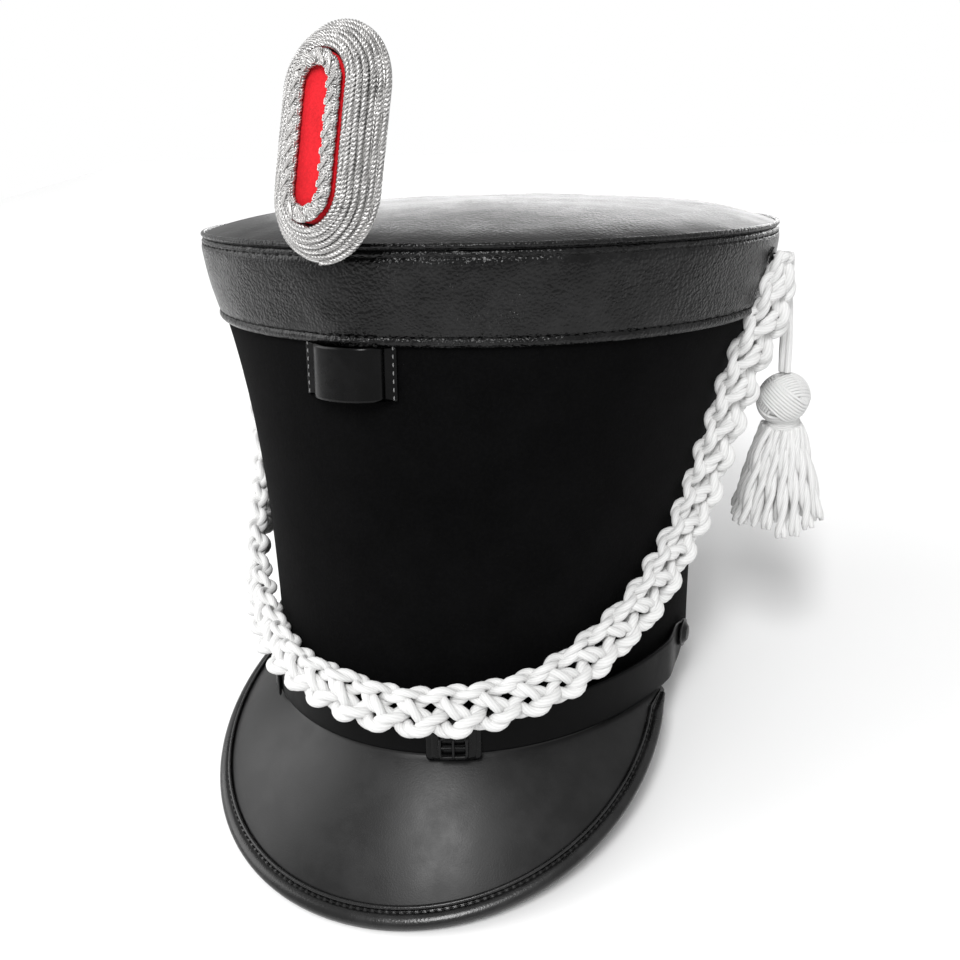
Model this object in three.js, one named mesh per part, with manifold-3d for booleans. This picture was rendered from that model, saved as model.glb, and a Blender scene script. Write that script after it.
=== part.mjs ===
// A shako: a bell-topped parade hat with a felt body, a leather crown, band, peak and chin strap,
// an oval rosette in front, and a plaited white cord that hangs between two studs and ends in a tassel.
//
// Every piece is modelled in the hat's own frame: millimetres, +Z up the hat's axis, -Y its front,
// +X the wearer's left, and the origin at the middle of the lower edge of the felt body. The whole hat
// is then leaned back by REST_TILT, because it stands on the rear of its lower edge and on its peak.

import * as THREE from 'three';
import * as BufferGeometryUtils from 'three/addons/utils/BufferGeometryUtils.js';
import Module from 'manifold-3d';

const wasm = await Module();
wasm.setup();

const { PI, sin, cos, abs, hypot } = Math;
const radians = THREE.MathUtils.degToRad;
const lerp = THREE.MathUtils.lerp;

// ---- driving dimensions -------------------------------------------------------------------------

const GAP = 0.3; // air between two pieces that touch

// The felt body: a long oval at the head, flaring to a circle under the band.
const BASE_HALF_WIDTH = 86;
const BASE_HALF_DEPTH = 109.5;
const BASE_FORWARD = 3.8; // how far the oval's middle lies ahead of the crown's middle
const NECK_RADIUS = 108.2; // the felt's radius where the band covers it
const FLARE_POWER = 3.05; // 1 is a straight taper, more keeps the flare near the top
const FELT = 2.5;
const FELT_TOP = 176.4;

// The crown, its welt and the band around it.
const RIM_RADIUS = 115;
const RIM_HEIGHT = 179;
const BAND_FOOT = 146.2;
const BAND_FOOT_RADIUS = 110;
const BAND_TOP = 177;
const BAND_LEATHER = 1.1;
const CROWN_RISE = 10.5;
const CROWN_LEATHER = 1.8;

// The plume socket under the band, and the bulge that the band makes above it.
const PLUME_AZIMUTH = radians(-3.5);
const SOCKET = { foot: 128.5, halfWidth: 17.6, tubeHalfWidth: 13.2, tubeDepth: 7.4, leather: 1.1 };
const BULGE = { height: 2.2, halfAngle: radians(11) };

// The peak: how far it reaches down its own slope, and how steep that slope is.
const PEAK = {
  reach: 58.2,
  halfAngle: radians(76.6), // where the peak would run out at each side
  turn: radians(1.2), // the peak sits a little towards the wearer's left
  fullness: 2.08,
  taper: 1.37,
  frontSlope: radians(49),
  sideSlope: radians(30),
  droop: radians(8), // the leather curls down by this much towards its edge
  leather: 2.2,
  flange: 8, // the part behind the strap
};
const BINDING = { width: 6.3, leather: 1, endShare: 0.85 };

// The chin strap and what is on it.
const STRAP = { foot: 0.9, width: 17.6, leather: 1.8, overPeak: 2.9, endAngle: radians(90.5) };
const BUTTON = { radius: 5.8, height: 2.8, angle: radians(86.5), z: 12.5 };

// The oval rosette, and how it leans.
const ROSETTE = {
  back: new THREE.Vector3(-4.6, -113.5, 208.6),
  halfWidth: 22.4,
  halfHeight: 36.9,
  faceHalfWidth: 10.8,
  faceHalfHeight: 26.1,
  depth: 8.4,
  rows: 8,
  leanBack: radians(13.5),
  turn: radians(-13.5),
};

// The coiled gimp on the rosette's face: its middle line lies inset from the face's edge.
const GIMP = { inset: 3.5, halfWidth: 2.7, halfThickness: 2.2 };

// The flat prong that carries the rosette: up from the socket's mouth behind the band, through a
// notch in the crown's edge, and forward to the rosette's back.
const STEM = {
  width: 6,
  thickness: 1,
  middle: -6.6,
  behind: -110.6, // the y of the straight part's middle
  foot: 151,
  bend: 184,
  back: [-114.2, -112],
  top: 200,
};

// How far the hat leans back at rest, and where that puts the hat's own origin.
const REST_TILT = radians(10.22);
const REST_SHIFT = new THREE.Vector3(0, 7.75, 18.76);

// ---- the outline of the body ----------------------------------------------------------------------

const TURN_STEPS = 56; // facets in a full turn of the hat
const STEP = (2 * PI) / TURN_STEPS;

/** The felt's outer oval at height z: an ellipse at the head that grows into the neck's circle. */
function oval(z) {
  const climb = Math.min(Math.max(z / BAND_FOOT, 0), 1);
  const flare = climb ** FLARE_POWER;
  return {
    halfWidth: lerp(BASE_HALF_WIDTH, NECK_RADIUS, flare),
    halfDepth: lerp(BASE_HALF_DEPTH, NECK_RADIUS, flare),
    forward: lerp(BASE_FORWARD, 0, flare),
  };
}

/** A point on the hat: angle phi from the front towards +X, height z, and out from the felt's face. */
function onHat(phi, z, out) {
  const { halfWidth, halfDepth, forward } = oval(z);
  const nx = sin(phi) / halfWidth;
  const ny = -cos(phi) / halfDepth;
  const length = hypot(nx, ny);
  const x = halfWidth * sin(phi) + (out * nx) / length;
  const y = -halfDepth * cos(phi) - forward + (out * ny) / length;
  return new THREE.Vector3(x, y, z);
}

/** The direction straight out of the felt's oval at angle phi and height z. */
function outward(phi, z) {
  return onHat(phi, z, 1).sub(onHat(phi, z, 0));
}

/** The angle that lies a given distance along the oval from angle phi, at height z. */
function along(phi, z, distance) {
  const { halfWidth, halfDepth } = oval(z);
  return phi + distance / hypot(halfWidth * cos(phi), halfDepth * sin(phi));
}

// ---- ways of making solids ------------------------------------------------------------------------

/** Turns a geometry's triangles over if they face inwards. */
function facesOut(geometry) {
  const p = geometry.getAttribute('position');
  const index = geometry.getIndex().array;
  const [a, b, c] = [new THREE.Vector3(), new THREE.Vector3(), new THREE.Vector3()];
  let volume = 0;
  for (let i = 0; i < index.length; i += 3) {
    a.fromBufferAttribute(p, index[i]);
    b.fromBufferAttribute(p, index[i + 1]);
    c.fromBufferAttribute(p, index[i + 2]);
    volume += a.dot(b.cross(c));
  }
  if (volume < 0) {
    index.reverse();
  }
  return geometry;
}

/**
 * A closed solid through a row of sections with the same number of points. A ring closes on itself.
 * Otherwise each end gets a cap, made of strips between the first half of the section's points and
 * the second half, so a section is listed along one rail and back along the other.
 */
function sweep(sections, ring = false) {
  const count = sections.length;
  const size = sections[0].length;
  const position = sections.flatMap((section) => section.flatMap((p) => [p.x, p.y, p.z]));
  const index = [];
  const quad = (a, b, c, d) => index.push(a, b, c, a, c, d);
  for (let i = 0; i < (ring ? count : count - 1); i++) {
    const next = (i + 1) % count;
    for (let j = 0; j < size; j++) {
      const k = (j + 1) % size;
      quad(i * size + j, i * size + k, next * size + k, next * size + j);
    }
  }
  if (!ring) {
    const end = (count - 1) * size;
    for (let j = 0; j < size / 2 - 1; j++) {
      const across = size - 1 - j;
      quad(j, across, across - 1, j + 1);
      quad(end + j, end + j + 1, end + across - 1, end + across);
    }
  }
  const geometry = new THREE.BufferGeometry();
  geometry.setAttribute('position', new THREE.Float32BufferAttribute(position, 3));
  geometry.setIndex(index);
  return facesOut(geometry);
}

/** A ring around the hat's axis with the given closed profile, as (radius, z) pairs. */
function turned(profile, radiusAt = (phi, radius) => radius, turns = fullTurn()) {
  const section = (phi) => {
    return profile.map(([radius, z]) => {
      const r = radiusAt(phi, radius, z);
      return new THREE.Vector3(r * sin(phi), -r * cos(phi), z);
    });
  };
  return sweep(turns.map(section), true);
}

/** The angles of a full turn. */
function fullTurn() {
  return Array.from({ length: TURN_STEPS }, (_, i) => i * STEP);
}

/** Angles from one angle to another in equal steps, both ends included. */
function angles(from, to, steps) {
  return Array.from({ length: steps + 1 }, (_, i) => lerp(from, to, i / steps));
}

/** Rails at half the thickness on both sides of a line of (out, z) points, as one closed section. */
function thicken(line, thickness) {
  const normal = (i, j) => {
    const [dx, dz] = [line[j][0] - line[i][0], line[j][1] - line[i][1]];
    return [dz / hypot(dx, dz), -dx / hypot(dx, dz)];
  };
  const rail = (side) => {
    return line.map(([out, z], i) => {
      const before = normal(Math.max(i - 1, 0), Math.max(i, 1));
      const after = normal(Math.min(i, line.length - 2), Math.min(i + 1, line.length - 1));
      const sum = [before[0] + after[0], before[1] + after[1]];
      const reach = (side * thickness) / (1 + before[0] * after[0] + before[1] * after[1]);
      return [out + (sum[0] * reach) / 2, z + (sum[1] * reach) / 2];
    });
  };
  return [...rail(1), ...rail(-1).reverse()];
}

/** A solid turned from a (radius, height) profile that starts and ends on its axis, its axis +Z. */
function lathe(profile, segments) {
  const points = profile.map(([radius, height]) => new THREE.Vector2(radius, height));
  return new THREE.LatheGeometry(points, segments).rotateX(PI / 2);
}

/** A round or flat cord along a curve, its width and thickness given at each share of its length. */
function cordAlong(curve, steps, sides, sizeAt, wide) {
  const sections = Array.from({ length: steps + 1 }, (_, i) => {
    const share = i / steps;
    const centre = curve.getPointAt(share);
    const forwards = curve.getTangentAt(share);
    const thin = wide(centre).addScaledVector(forwards, -wide(centre).dot(forwards)).normalize();
    const broad = forwards.clone().cross(thin);
    const { halfWidth, halfThickness } = sizeAt(share);
    return Array.from({ length: sides }, (_, j) => {
      const turn = (2 * PI * (j + 0.5)) / sides;
      return centre
        .clone()
        .addScaledVector(broad, halfWidth * cos(turn))
        .addScaledVector(thin, halfThickness * sin(turn));
    });
  });
  return sweep(sections);
}

/** The manifold of a geometry, for cuts. */
function toManifold(geometry) {
  const bare = geometry.clone();
  bare.deleteAttribute('normal');
  bare.deleteAttribute('uv');
  const merged = BufferGeometryUtils.mergeVertices(bare, 1e-4);
  const vertProperties = new Float32Array(merged.getAttribute('position').array);
  const triVerts = new Uint32Array(merged.getIndex().array);
  return new wasm.Manifold(new wasm.Mesh({ numProp: 3, vertProperties, triVerts }));
}

/** The first geometry with the second one cut out of it. */
function cut(geometry, tool) {
  const { vertProperties, triVerts } = toManifold(geometry).subtract(toManifold(tool)).getMesh();
  const result = new THREE.BufferGeometry();
  result.setAttribute('position', new THREE.Float32BufferAttribute(vertProperties, 3));
  result.setIndex([...triVerts]);
  return result;
}

// ---- finishes -----------------------------------------------------------------------------------

const finish = (color, roughness, metalness = 0) => {
  return new THREE.MeshStandardMaterial({ color, roughness, metalness });
};
const FELT_BLACK = () => finish(0x0d0d0e, 0.95);
const GRAINED_LEATHER = () => finish(0x1b1b1c, 0.45);
const SMOOTH_LEATHER = () => finish(0x161617, 0.35);
const PATENT_LEATHER = () => finish(0x08080a, 0.15);
const BLACK_METAL = () => finish(0x111113, 0.3, 0.8);
const WHITE_CORD = () => finish(0xeeeeec, 0.8);
const SILVER_CORD = () => finish(0xbdb9b4, 0.4, 0.6);
const RED_FELT = () => finish(0xd7202e, 0.9);

const hat = new THREE.Group();

/** Adds a named piece to the hat, or to another group of it. */
function piece(name, geometry, material, parent = hat) {
  const mesh = new THREE.Mesh(geometry, material);
  mesh.name = name;
  parent.add(mesh);
  return mesh;
}

// ---- the felt body --------------------------------------------------------------------------------

function bodyShell() {
  const heights = [0, 40, 72, 96, 114, 130, BAND_FOOT, FELT_TOP];
  const section = (phi) => {
    const outside = heights.map((z) => onHat(phi, z, 0));
    const inside = heights.map((z) => onHat(phi, z, -FELT)).reverse();
    return [...outside, ...inside];
  };
  return sweep(fullTurn().map(section), true);
}

// ---- crown, welt and band ---------------------------------------------------------------------------

/** The crown's height above its edge at a share of its radius: a cushion that turns down at its edge. */
const crownHeight = (share) => CROWN_RISE * (1 - share ** 2.6);

function crownTop() {
  const edge = RIM_RADIUS - 1.9;
  const shares = [0, 0.3, 0.55, 0.75, 0.89, 0.97, 1];
  const foot = RIM_HEIGHT - 0.7;
  const upper = shares.map((s) => [edge * s, foot + crownHeight(s)]);
  const lower = shares.map((s) => [edge * s, foot - CROWN_LEATHER + crownHeight(s)]);
  const crown = lathe([...lower, ...upper.reverse()], TURN_STEPS);
  const notch = new THREE.BoxGeometry(STEM.width + 1, 8, 12);
  return cut(crown, notch.translate(STEM.middle, STEM.behind - 3.2, RIM_HEIGHT));
}

function crownWelt() {
  const inner = RIM_RADIUS - 1.6;
  const foot = BAND_TOP + GAP;
  const profile = [
    [inner, foot],
    [RIM_RADIUS - 0.4, foot],
    [RIM_RADIUS, foot + 0.7],
    [RIM_RADIUS - 0.3, foot + 1.6],
    [RIM_RADIUS - 1, foot + 1.9],
    [inner, foot + 1.4],
  ];
  return turned(profile);
}

/** How far the band stands out over the socket, fading away up the band and to both sides. */
function bulge(phi, z) {
  const side = Math.min(abs(phi - PLUME_AZIMUTH) / BULGE.halfAngle, 1);
  const climb = (z - BAND_FOOT) / (BAND_TOP - BAND_FOOT);
  return BULGE.height * cos((PI / 2) * side) ** 2 * (1 - climb);
}

function topBand() {
  const outer = [
    [BAND_FOOT_RADIUS - 0.2, BAND_FOOT],
    [BAND_FOOT_RADIUS + 0.6, BAND_FOOT + 1.4],
    [RIM_RADIUS - 0.6, BAND_TOP - 8.5],
    [RIM_RADIUS + 0.2, BAND_TOP - 3],
    [RIM_RADIUS - 0.3, BAND_TOP],
  ];
  const inner = outer.map(([radius, z]) => [radius - BAND_LEATHER, z]).reverse();
  const near = angles(PLUME_AZIMUTH - BULGE.halfAngle, PLUME_AZIMUTH + BULGE.halfAngle, 8);
  const far = angles(near.at(-1), near[0] + 2 * PI, TURN_STEPS - 4).slice(1, -1);
  const wavy = (phi, radius, z) => radius + (phi <= near.at(-1) ? bulge(phi, z) : 0);
  return turned([...outer, ...inner], wavy, [...near, ...far]);
}

// ---- the plume socket and the side tabs -------------------------------------------------------------

function plumeSocket() {
  const { foot, halfWidth, tubeHalfWidth, tubeDepth, leather } = SOCKET;
  const turns = angles(PI, 0, 10);
  const rail = (width, lift) => [
    [-halfWidth, lift],
    ...turns.map((t) => [width * cos(t), lift + tubeDepth * sin(t)]),
    [halfWidth, lift],
  ];
  const outside = rail(tubeHalfWidth, GAP + leather);
  const inside = rail(tubeHalfWidth - leather, GAP).reverse();
  const middle = (foot + BAND_FOOT) / 2;
  const sections = [foot, middle, BAND_FOOT - GAP].map((z) => {
    return [...outside, ...inside].map(([side, out]) => onHat(along(PLUME_AZIMUTH, z, side), z, out));
  });
  return sweep(sections);
}

/** A plain leather tab that comes out from under the band at one side and narrows to its foot. */
function sideTab(side) {
  const rows = [[BAND_FOOT - GAP, 8], [138, 8], [130, 7], [126, 4]];
  const middle = side * radians(93);
  const sections = rows.map(([z, halfWidth]) => {
    const across = [-halfWidth, 0, halfWidth];
    const face = (out) => across.map((s) => onHat(along(middle, z, s), z, out));
    return [...face(GAP + 1.3), ...face(GAP + 0.1).reverse()];
  });
  return sweep(sections);
}

// ---- the peak ----------------------------------------------------------------------------------------

const PEAK_ROOT = -0.7; // the height at which the peak bends out of its flange
const PEAK_STEPS = 6; // steps down the slope, before the last one under the binding
const PEAK_SHARE = 0.05; // steps around the peak, as a share of its half angle

/** The peak's length down its slope at a share of its half angle, -1 to 1. */
const peakReach = (share) => PEAK.reach * (1 - abs(share) ** PEAK.fullness) ** PEAK.taper;

/** The slope of the peak's leather at a share of its half angle, and a share of its reach. */
function peakSlope(share, down) {
  const slope = lerp(PEAK.frontSlope, PEAK.sideSlope, share ** 2);
  return slope + PEAK.droop * (2 * down - 1);
}

/** The middle line of the peak's leather at a share of its half angle, as (out, z) points. */
function peakLine(share) {
  const start = GAP + PEAK.leather / 2;
  const line = [[start, PEAK.flange], [start, PEAK_ROOT]];
  const reach = peakReach(share);
  const last = Math.min(BINDING.width + 0.6, reach / 2);
  const add = (step, down) => {
    const [out, z] = line.at(-1);
    const slope = peakSlope(share, down);
    line.push([out + step * cos(slope), z - step * sin(slope)]);
  };
  for (let i = 0; i < PEAK_STEPS; i++) {
    const step = (reach - last) / PEAK_STEPS;
    add(step, ((i + 0.5) * step) / reach);
  }
  add(last, 1 - last / reach / 2);
  return line;
}

/** The point of the hat's base frame at a share of the peak's half angle: straight out and down. */
function fromBase(share, out, z) {
  const phi = PEAK.turn + share * PEAK.halfAngle;
  const foot = onHat(phi, 0, 0);
  return foot.addScaledVector(outward(phi, 0), out).setZ(z);
}

function peak() {
  const end = 0.95;
  const shares = angles(-end, end, (2 * end) / PEAK_SHARE);
  const section = (share) => {
    return thicken(peakLine(share), PEAK.leather).map(([out, z]) => fromBase(share, out, z));
  };
  return sweep(shares.map(section));
}

/** The binding: a folded strip of leather around the peak's edge, with a rounded outer roll. */
function peakBinding() {
  const { width, leather, endShare } = BINDING;
  const inner = PEAK.leather / 2 + GAP;
  const outer = inner + leather;
  // Each row: along the slope from the leather's edge, and the height over its middle line.
  const outside = [[-width, outer], [0.2, outer], [1.6, outer * 0.55], [2, 0]];
  const inside = [[-width, inner], [-1, inner], [GAP, inner], [GAP, 0]];
  const folded = (rail) => [...rail, ...rail.slice(0, -1).reverse().map(([u, v]) => [u, -v])];
  const profile = [...folded(outside), ...folded(inside).reverse()];
  const section = (share) => {
    const [[fromOut, fromZ], [edgeOut, edgeZ]] = peakLine(share).slice(-2);
    const length = hypot(edgeOut - fromOut, edgeZ - fromZ);
    const down = [(edgeOut - fromOut) / length, (edgeZ - fromZ) / length];
    return profile.map(([u, v]) => {
      return fromBase(share, edgeOut + down[0] * u - down[1] * v, edgeZ + down[1] * u + down[0] * v);
    });
  };
  return sweep(angles(-endShare, endShare, (2 * endShare) / PEAK_SHARE).map(section));
}

// ---- the chin strap, its keepers, buckle and buttons ---------------------------------------------------

/** How far the strap's inner face stands off the felt: over the peak's flange, then close to it. */
function strapOut(phi) {
  const past = THREE.MathUtils.smoothstep(abs(phi), radians(75), radians(84));
  return lerp(STRAP.overPeak, GAP, past);
}

/** The chin strap: a band of leather whose two ends narrow to their buttons. */
function chinStrap() {
  const { foot, width, leather, endAngle } = STRAP;
  const nearEnd = [1, 0.975, 0.945, 0.9];
  const narrowed = [0.3, 0.14, 0.04, 0]; // the share of the width cut from each edge
  const section = (share, cutOff) => {
    const phi = share * endAngle;
    const out = strapOut(phi);
    const [low, high] = [foot + 1.4 * width * cutOff, foot + width * (1 - 0.6 * cutOff)];
    const face = (lift) => [onHat(phi, low, lift), onHat(phi, high, lift)];
    return [...face(out), ...face(out + leather).reverse()];
  };
  const left = nearEnd.map((share, i) => section(-share, narrowed[i]));
  const middle = angles(-0.85, 0.85, 28).map((share) => section(share, 0));
  const right = nearEnd.map((share, i) => section(share, narrowed[i])).reverse();
  return sweep([...left, ...middle, ...right]);
}

/** A flat loop on the strap's face, hanging a little under the strap's lower edge. */
function strapLoop(angle, width, drop, rise, thickness, corner) {
  const out = STRAP.overPeak + STRAP.leather + GAP;
  const rows = [[-0.5, corner], [-0.36, 0], [0, 0], [0.36, 0], [0.5, corner]];
  const sections = rows.map(([share, cutOff]) => {
    const phi = along(angle, 0, share * width);
    const low = -drop + cutOff;
    const high = STRAP.foot + STRAP.width + rise - cutOff;
    const face = (lift) => [onHat(phi, low, lift), onHat(phi, high, lift)];
    return [...face(out), ...face(out + thickness).reverse()];
  });
  return sweep(sections);
}

/** A rectangular frame with a bar across its middle, standing on the front keeper. */
function buckleFrame() {
  const [width, height, wire, thickness] = [11, 9, 1.6, 1.4];
  const shape = new THREE.Shape();
  shape.moveTo(-width / 2, -height / 2);
  shape.lineTo(width / 2, -height / 2);
  shape.lineTo(width / 2, height / 2);
  shape.lineTo(-width / 2, height / 2);
  shape.closePath();
  const window = (low, high) => {
    const hole = new THREE.Path();
    hole.moveTo(-width / 2 + wire, low);
    hole.lineTo(-width / 2 + wire, high);
    hole.lineTo(width / 2 - wire, high);
    hole.lineTo(width / 2 - wire, low);
    hole.closePath();
    shape.holes.push(hole);
  };
  window(-height / 2 + wire, -wire / 2);
  window(wire / 2, height / 2 - wire);
  return new THREE.ExtrudeGeometry(shape, { depth: thickness, bevelEnabled: false });
}

/** Stands a mesh at a point with its own +Z along a direction and its own +Y upwards. */
function stand(mesh, point, direction) {
  const up = new THREE.Vector3(0, 0, 1);
  const side = up.cross(direction).normalize();
  const top = direction.clone().cross(side).normalize();
  mesh.quaternion.setFromRotationMatrix(new THREE.Matrix4().makeBasis(side, top, direction));
  mesh.position.copy(point);
  return mesh;
}

function sideButton() {
  const { radius, height } = BUTTON;
  const rows = [[0, 0], [radius - 0.4, 0], [radius, 0.7], [radius * 0.8, height * 0.75], [0, height]];
  return lathe(rows, 20);
}

// ---- the rosette ---------------------------------------------------------------------------------------

const ROSETTE_END_STEPS = 9; // facets around each round end

/** A closed oval with round ends, at a depth in front of the rosette's back. */
function rosetteOval(halfWidth, halfHeight, depth) {
  const straight = halfHeight - halfWidth;
  const turns = [
    ...angles(0, PI, ROSETTE_END_STEPS).map((t) => [t, straight]),
    ...angles(PI, 2 * PI, ROSETTE_END_STEPS).map((t) => [t, -straight]),
  ];
  return turns.map(([t, shift]) => {
    return new THREE.Vector3(halfWidth * cos(t), -depth, shift + halfWidth * sin(t));
  });
}

/** A closed ring of the rosette: its profile is rows of (half width, half height, depth). */
function rosetteRing(profile) {
  const ovals = profile.map((row) => rosetteOval(...row));
  const sections = ovals[0].map((_, i) => ovals.map((points) => points[i]));
  return sweep(sections, true);
}

/** A plate with the rosette's outline, between two depths. */
function rosettePlate(halfWidth, halfHeight, from, to) {
  const outline = rosetteOval(halfWidth, halfHeight, 0).map((p) => new THREE.Vector2(p.x, p.z));
  const shape = new THREE.Shape(outline);
  const plate = new THREE.ExtrudeGeometry(shape, { depth: to - from, bevelEnabled: false });
  return plate.rotateX(PI / 2).translate(0, -from, 0);
}

/** The wound cord: rows that climb from the outline to the face, each row a small step. */
function rosetteCord() {
  const { halfWidth, halfHeight, faceHalfWidth, faceHalfHeight, depth, rows } = ROSETTE;
  const [inner, innerHigh] = [faceHalfWidth + 0.1, faceHalfHeight + 0.1];
  const outside = [];
  for (let i = 0; i <= 2 * rows; i++) {
    const share = i / (2 * rows);
    const puff = i % 2 ? 0.4 : -0.3;
    const wide = lerp(halfWidth, inner + 0.8, share) + 0.6 * puff;
    const high = lerp(halfHeight, innerHigh + 0.8, share) + 0.6 * puff;
    outside.push([wide, high, Math.max(lerp(0.4, depth, share) + 0.8 * puff, 0)]);
  }
  const top = outside.at(-1)[2];
  return rosetteRing([...outside, [inner, innerHigh, top - 0.2], [inner, innerHigh, 0]]);
}

function rosetteGimp() {
  const { inset, halfWidth, halfThickness } = GIMP;
  const middle = [ROSETTE.faceHalfWidth - inset, ROSETTE.faceHalfHeight - inset];
  const lift = ROSETTE.depth + GAP + halfThickness;
  const profile = angles(0, 2 * PI, 8).slice(0, -1).map((t) => {
    const across = halfWidth * cos(t);
    return [middle[0] + across, middle[1] + across, lift + halfThickness * sin(t)];
  });
  return rosetteRing(profile);
}

function rosetteStem() {
  const { width, thickness, foot, bend, back, top } = STEM;
  const front = STEM.behind;
  const line = [[front, foot], [front, bend], [back[0], bend + 7], [back[1], top]];
  const outline = thicken(line, thickness).map(([y, z]) => new THREE.Vector2(y, z));
  const shape = new THREE.Shape(outline);
  const strip = new THREE.ExtrudeGeometry(shape, { depth: width, bevelEnabled: false });
  // The extrusion's own x, y and z become the hat's y, z and x.
  strip.applyMatrix4(new THREE.Matrix4().set(0, 0, 1, 0, 1, 0, 0, 0, 0, 1, 0, 0, 0, 0, 0, 1));
  return strip.translate(STEM.middle - width / 2, 0, 0);
}

// ---- the plaited cord, its studs and the tassel -----------------------------------------------------------

const CORD_STUD = { angle: radians(86.5), z: 167, radius: 114.6, slope: radians(-9) };
const FESTOON = { width: 17.6, thickness: 10, endWidth: 7, endThickness: 4.6 };

// The middle line of the plaited cord, from the stud on the wearer's left round the front to the right.
const FESTOON_ROUTE = [
  [118.7, -7, 168], [117.4, -8, 157], [115.6, -9.5, 146], [111.4, -11, 134],
  [106.5, -12.5, 116], [101, -14, 96.5], [97, -17.5, 82], [93.5, -26, 70.7],
  [88.7, -40, 58], [83.7, -55, 47.4], [77.3, -68.5, 40], [69.3, -83, 33.4],
  [59.5, -97.6, 28], [47.5, -108.3, 24.8], [34.8, -116.4, 22.8], [20, -121.6, 21.8],
  [4, -123.6, 22.3], [-10.5, -122.4, 24.2], [-24.3, -118.4, 25], [-37.6, -112, 25.8],
  [-50, -102.4, 27.8], [-62.5, -90.4, 30.2], [-73.2, -78, 33.6], [-81.2, -67.4, 39],
  [-88.3, -56, 46.8], [-94.3, -42, 56], [-98.2, -30, 67], [-101.6, -21.5, 82],
  [-105.4, -16, 101], [-110.2, -12.4, 124], [-116, -9.5, 148], [-118.7, -7, 168],
];

function festoon() {
  const curve = new THREE.CatmullRomCurve3(FESTOON_ROUTE.map((p) => new THREE.Vector3(...p)));
  const sizeAt = (share) => {
    const grown = Math.min(share / 0.04, (1 - share) / 0.04, 1);
    return {
      halfWidth: lerp(FESTOON.endWidth, FESTOON.width, grown) / 2,
      halfThickness: lerp(FESTOON.endThickness, FESTOON.thickness, grown) / 2,
    };
  };
  const awayFromAxis = (p) => new THREE.Vector3(p.x, p.y + BASE_FORWARD, 0).normalize();
  return cordAlong(curve, 64, 10, sizeAt, awayFromAxis);
}

function cordStud() {
  return lathe([[0, 0], [3.6, 0], [3.6, 0.5], [1.6, 0.8], [1.6, 1.2], [0, 1.2]], 16);
}

// The tassel hangs straight down, so its pieces are in a group that undoes the hat's lean.
const TASSEL = {
  top: new THREE.Vector3(120.6, -2.2, 165.2),
  cord: 3.8,
  cordLength: 42,
  knotRadius: 9.3,
  fringeTop: 7.6,
  fringeFoot: 18.4,
  fringeLength: 46,
};

/** The tassel's cord: out of the plaited cord's end, and straight down. Heights are under its top. */
function tasselCord() {
  const route = [[-0.6, 1.1, 1.8], [-0.2, 0.4, 0.6], [0, 0, -2], [0, 0, -14], [0, 0, -TASSEL.cordLength]];
  const curve = new THREE.CatmullRomCurve3(route.map((p) => new THREE.Vector3(...p)));
  const round = () => ({ halfWidth: TASSEL.cord / 2, halfThickness: TASSEL.cord / 2 });
  return cordAlong(curve, 8, 8, round, () => new THREE.Vector3(1, 0, 0));
}

function tasselKnot() {
  const rows = angles(-PI / 2, PI / 2, 10).map((t) => {
    return [TASSEL.knotRadius * cos(t), TASSEL.knotRadius * 1.03 * sin(t)];
  });
  rows[0][0] = 0;
  rows.at(-1)[0] = 0;
  return lathe(rows, 20);
}

function tasselFringe() {
  const { fringeTop, fringeFoot, fringeLength } = TASSEL;
  const shares = [1, 0.8, 0.5, 0.2, 0];
  const side = shares.map((s) => [lerp(fringeTop, fringeFoot, s ** 0.8), -s * fringeLength]);
  return lathe([[0, -fringeLength], ...side, [0, 0]], 20);
}

// ---- assembly ------------------------------------------------------------------------------------------

piece('body_shell', bodyShell(), FELT_BLACK());
piece('crown_top', crownTop(), GRAINED_LEATHER());
piece('crown_welt', crownWelt(), GRAINED_LEATHER());
piece('top_band', topBand(), GRAINED_LEATHER());
piece('plume_socket', plumeSocket(), SMOOTH_LEATHER());
piece('peak', peak(), SMOOTH_LEATHER());
piece('peak_binding', peakBinding(), SMOOTH_LEATHER());
piece('chin_strap', chinStrap(), SMOOTH_LEATHER());

const keeperAngle = radians(18);
const onStrap = STRAP.overPeak + STRAP.leather + GAP;
const keeper = { out: onStrap, thickness: 1.3 };
const frontLoop = strapLoop(keeperAngle, 18.6, 0.6, 0.4, keeper.thickness, 1.6);
piece('strap_keeper_front', frontLoop, PATENT_LEATHER());
piece('strap_keeper_side', strapLoop(radians(-38), 5, 0.6, 0.2, 1.2, 0), PATENT_LEATHER());
const buckle = piece('strap_buckle', buckleFrame(), BLACK_METAL());
const buckleHeight = 5.6;
const buckleAt = onHat(keeperAngle, buckleHeight, keeper.out + keeper.thickness + 0.6);
stand(buckle, buckleAt, outward(keeperAngle, buckleHeight));

for (const [name, side] of [['left', 1], ['right', -1]]) {
  piece(`side_tab_${name}`, sideTab(side), SMOOTH_LEATHER());
  const angle = side * BUTTON.angle;
  const buttonAt = onHat(angle, BUTTON.z, strapOut(angle) + STRAP.leather + GAP);
  stand(piece(`side_button_${name}`, sideButton(), BLACK_METAL()), buttonAt, outward(angle, BUTTON.z));
  const turn = side * CORD_STUD.angle;
  const level = new THREE.Vector3(sin(turn), -cos(turn), 0);
  const studAt = level.clone().multiplyScalar(CORD_STUD.radius).setZ(CORD_STUD.z);
  const facing = level.multiplyScalar(cos(CORD_STUD.slope)).setZ(sin(CORD_STUD.slope));
  stand(piece(`cord_stud_${name}`, cordStud(), BLACK_METAL()), studAt, facing);
}

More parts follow.
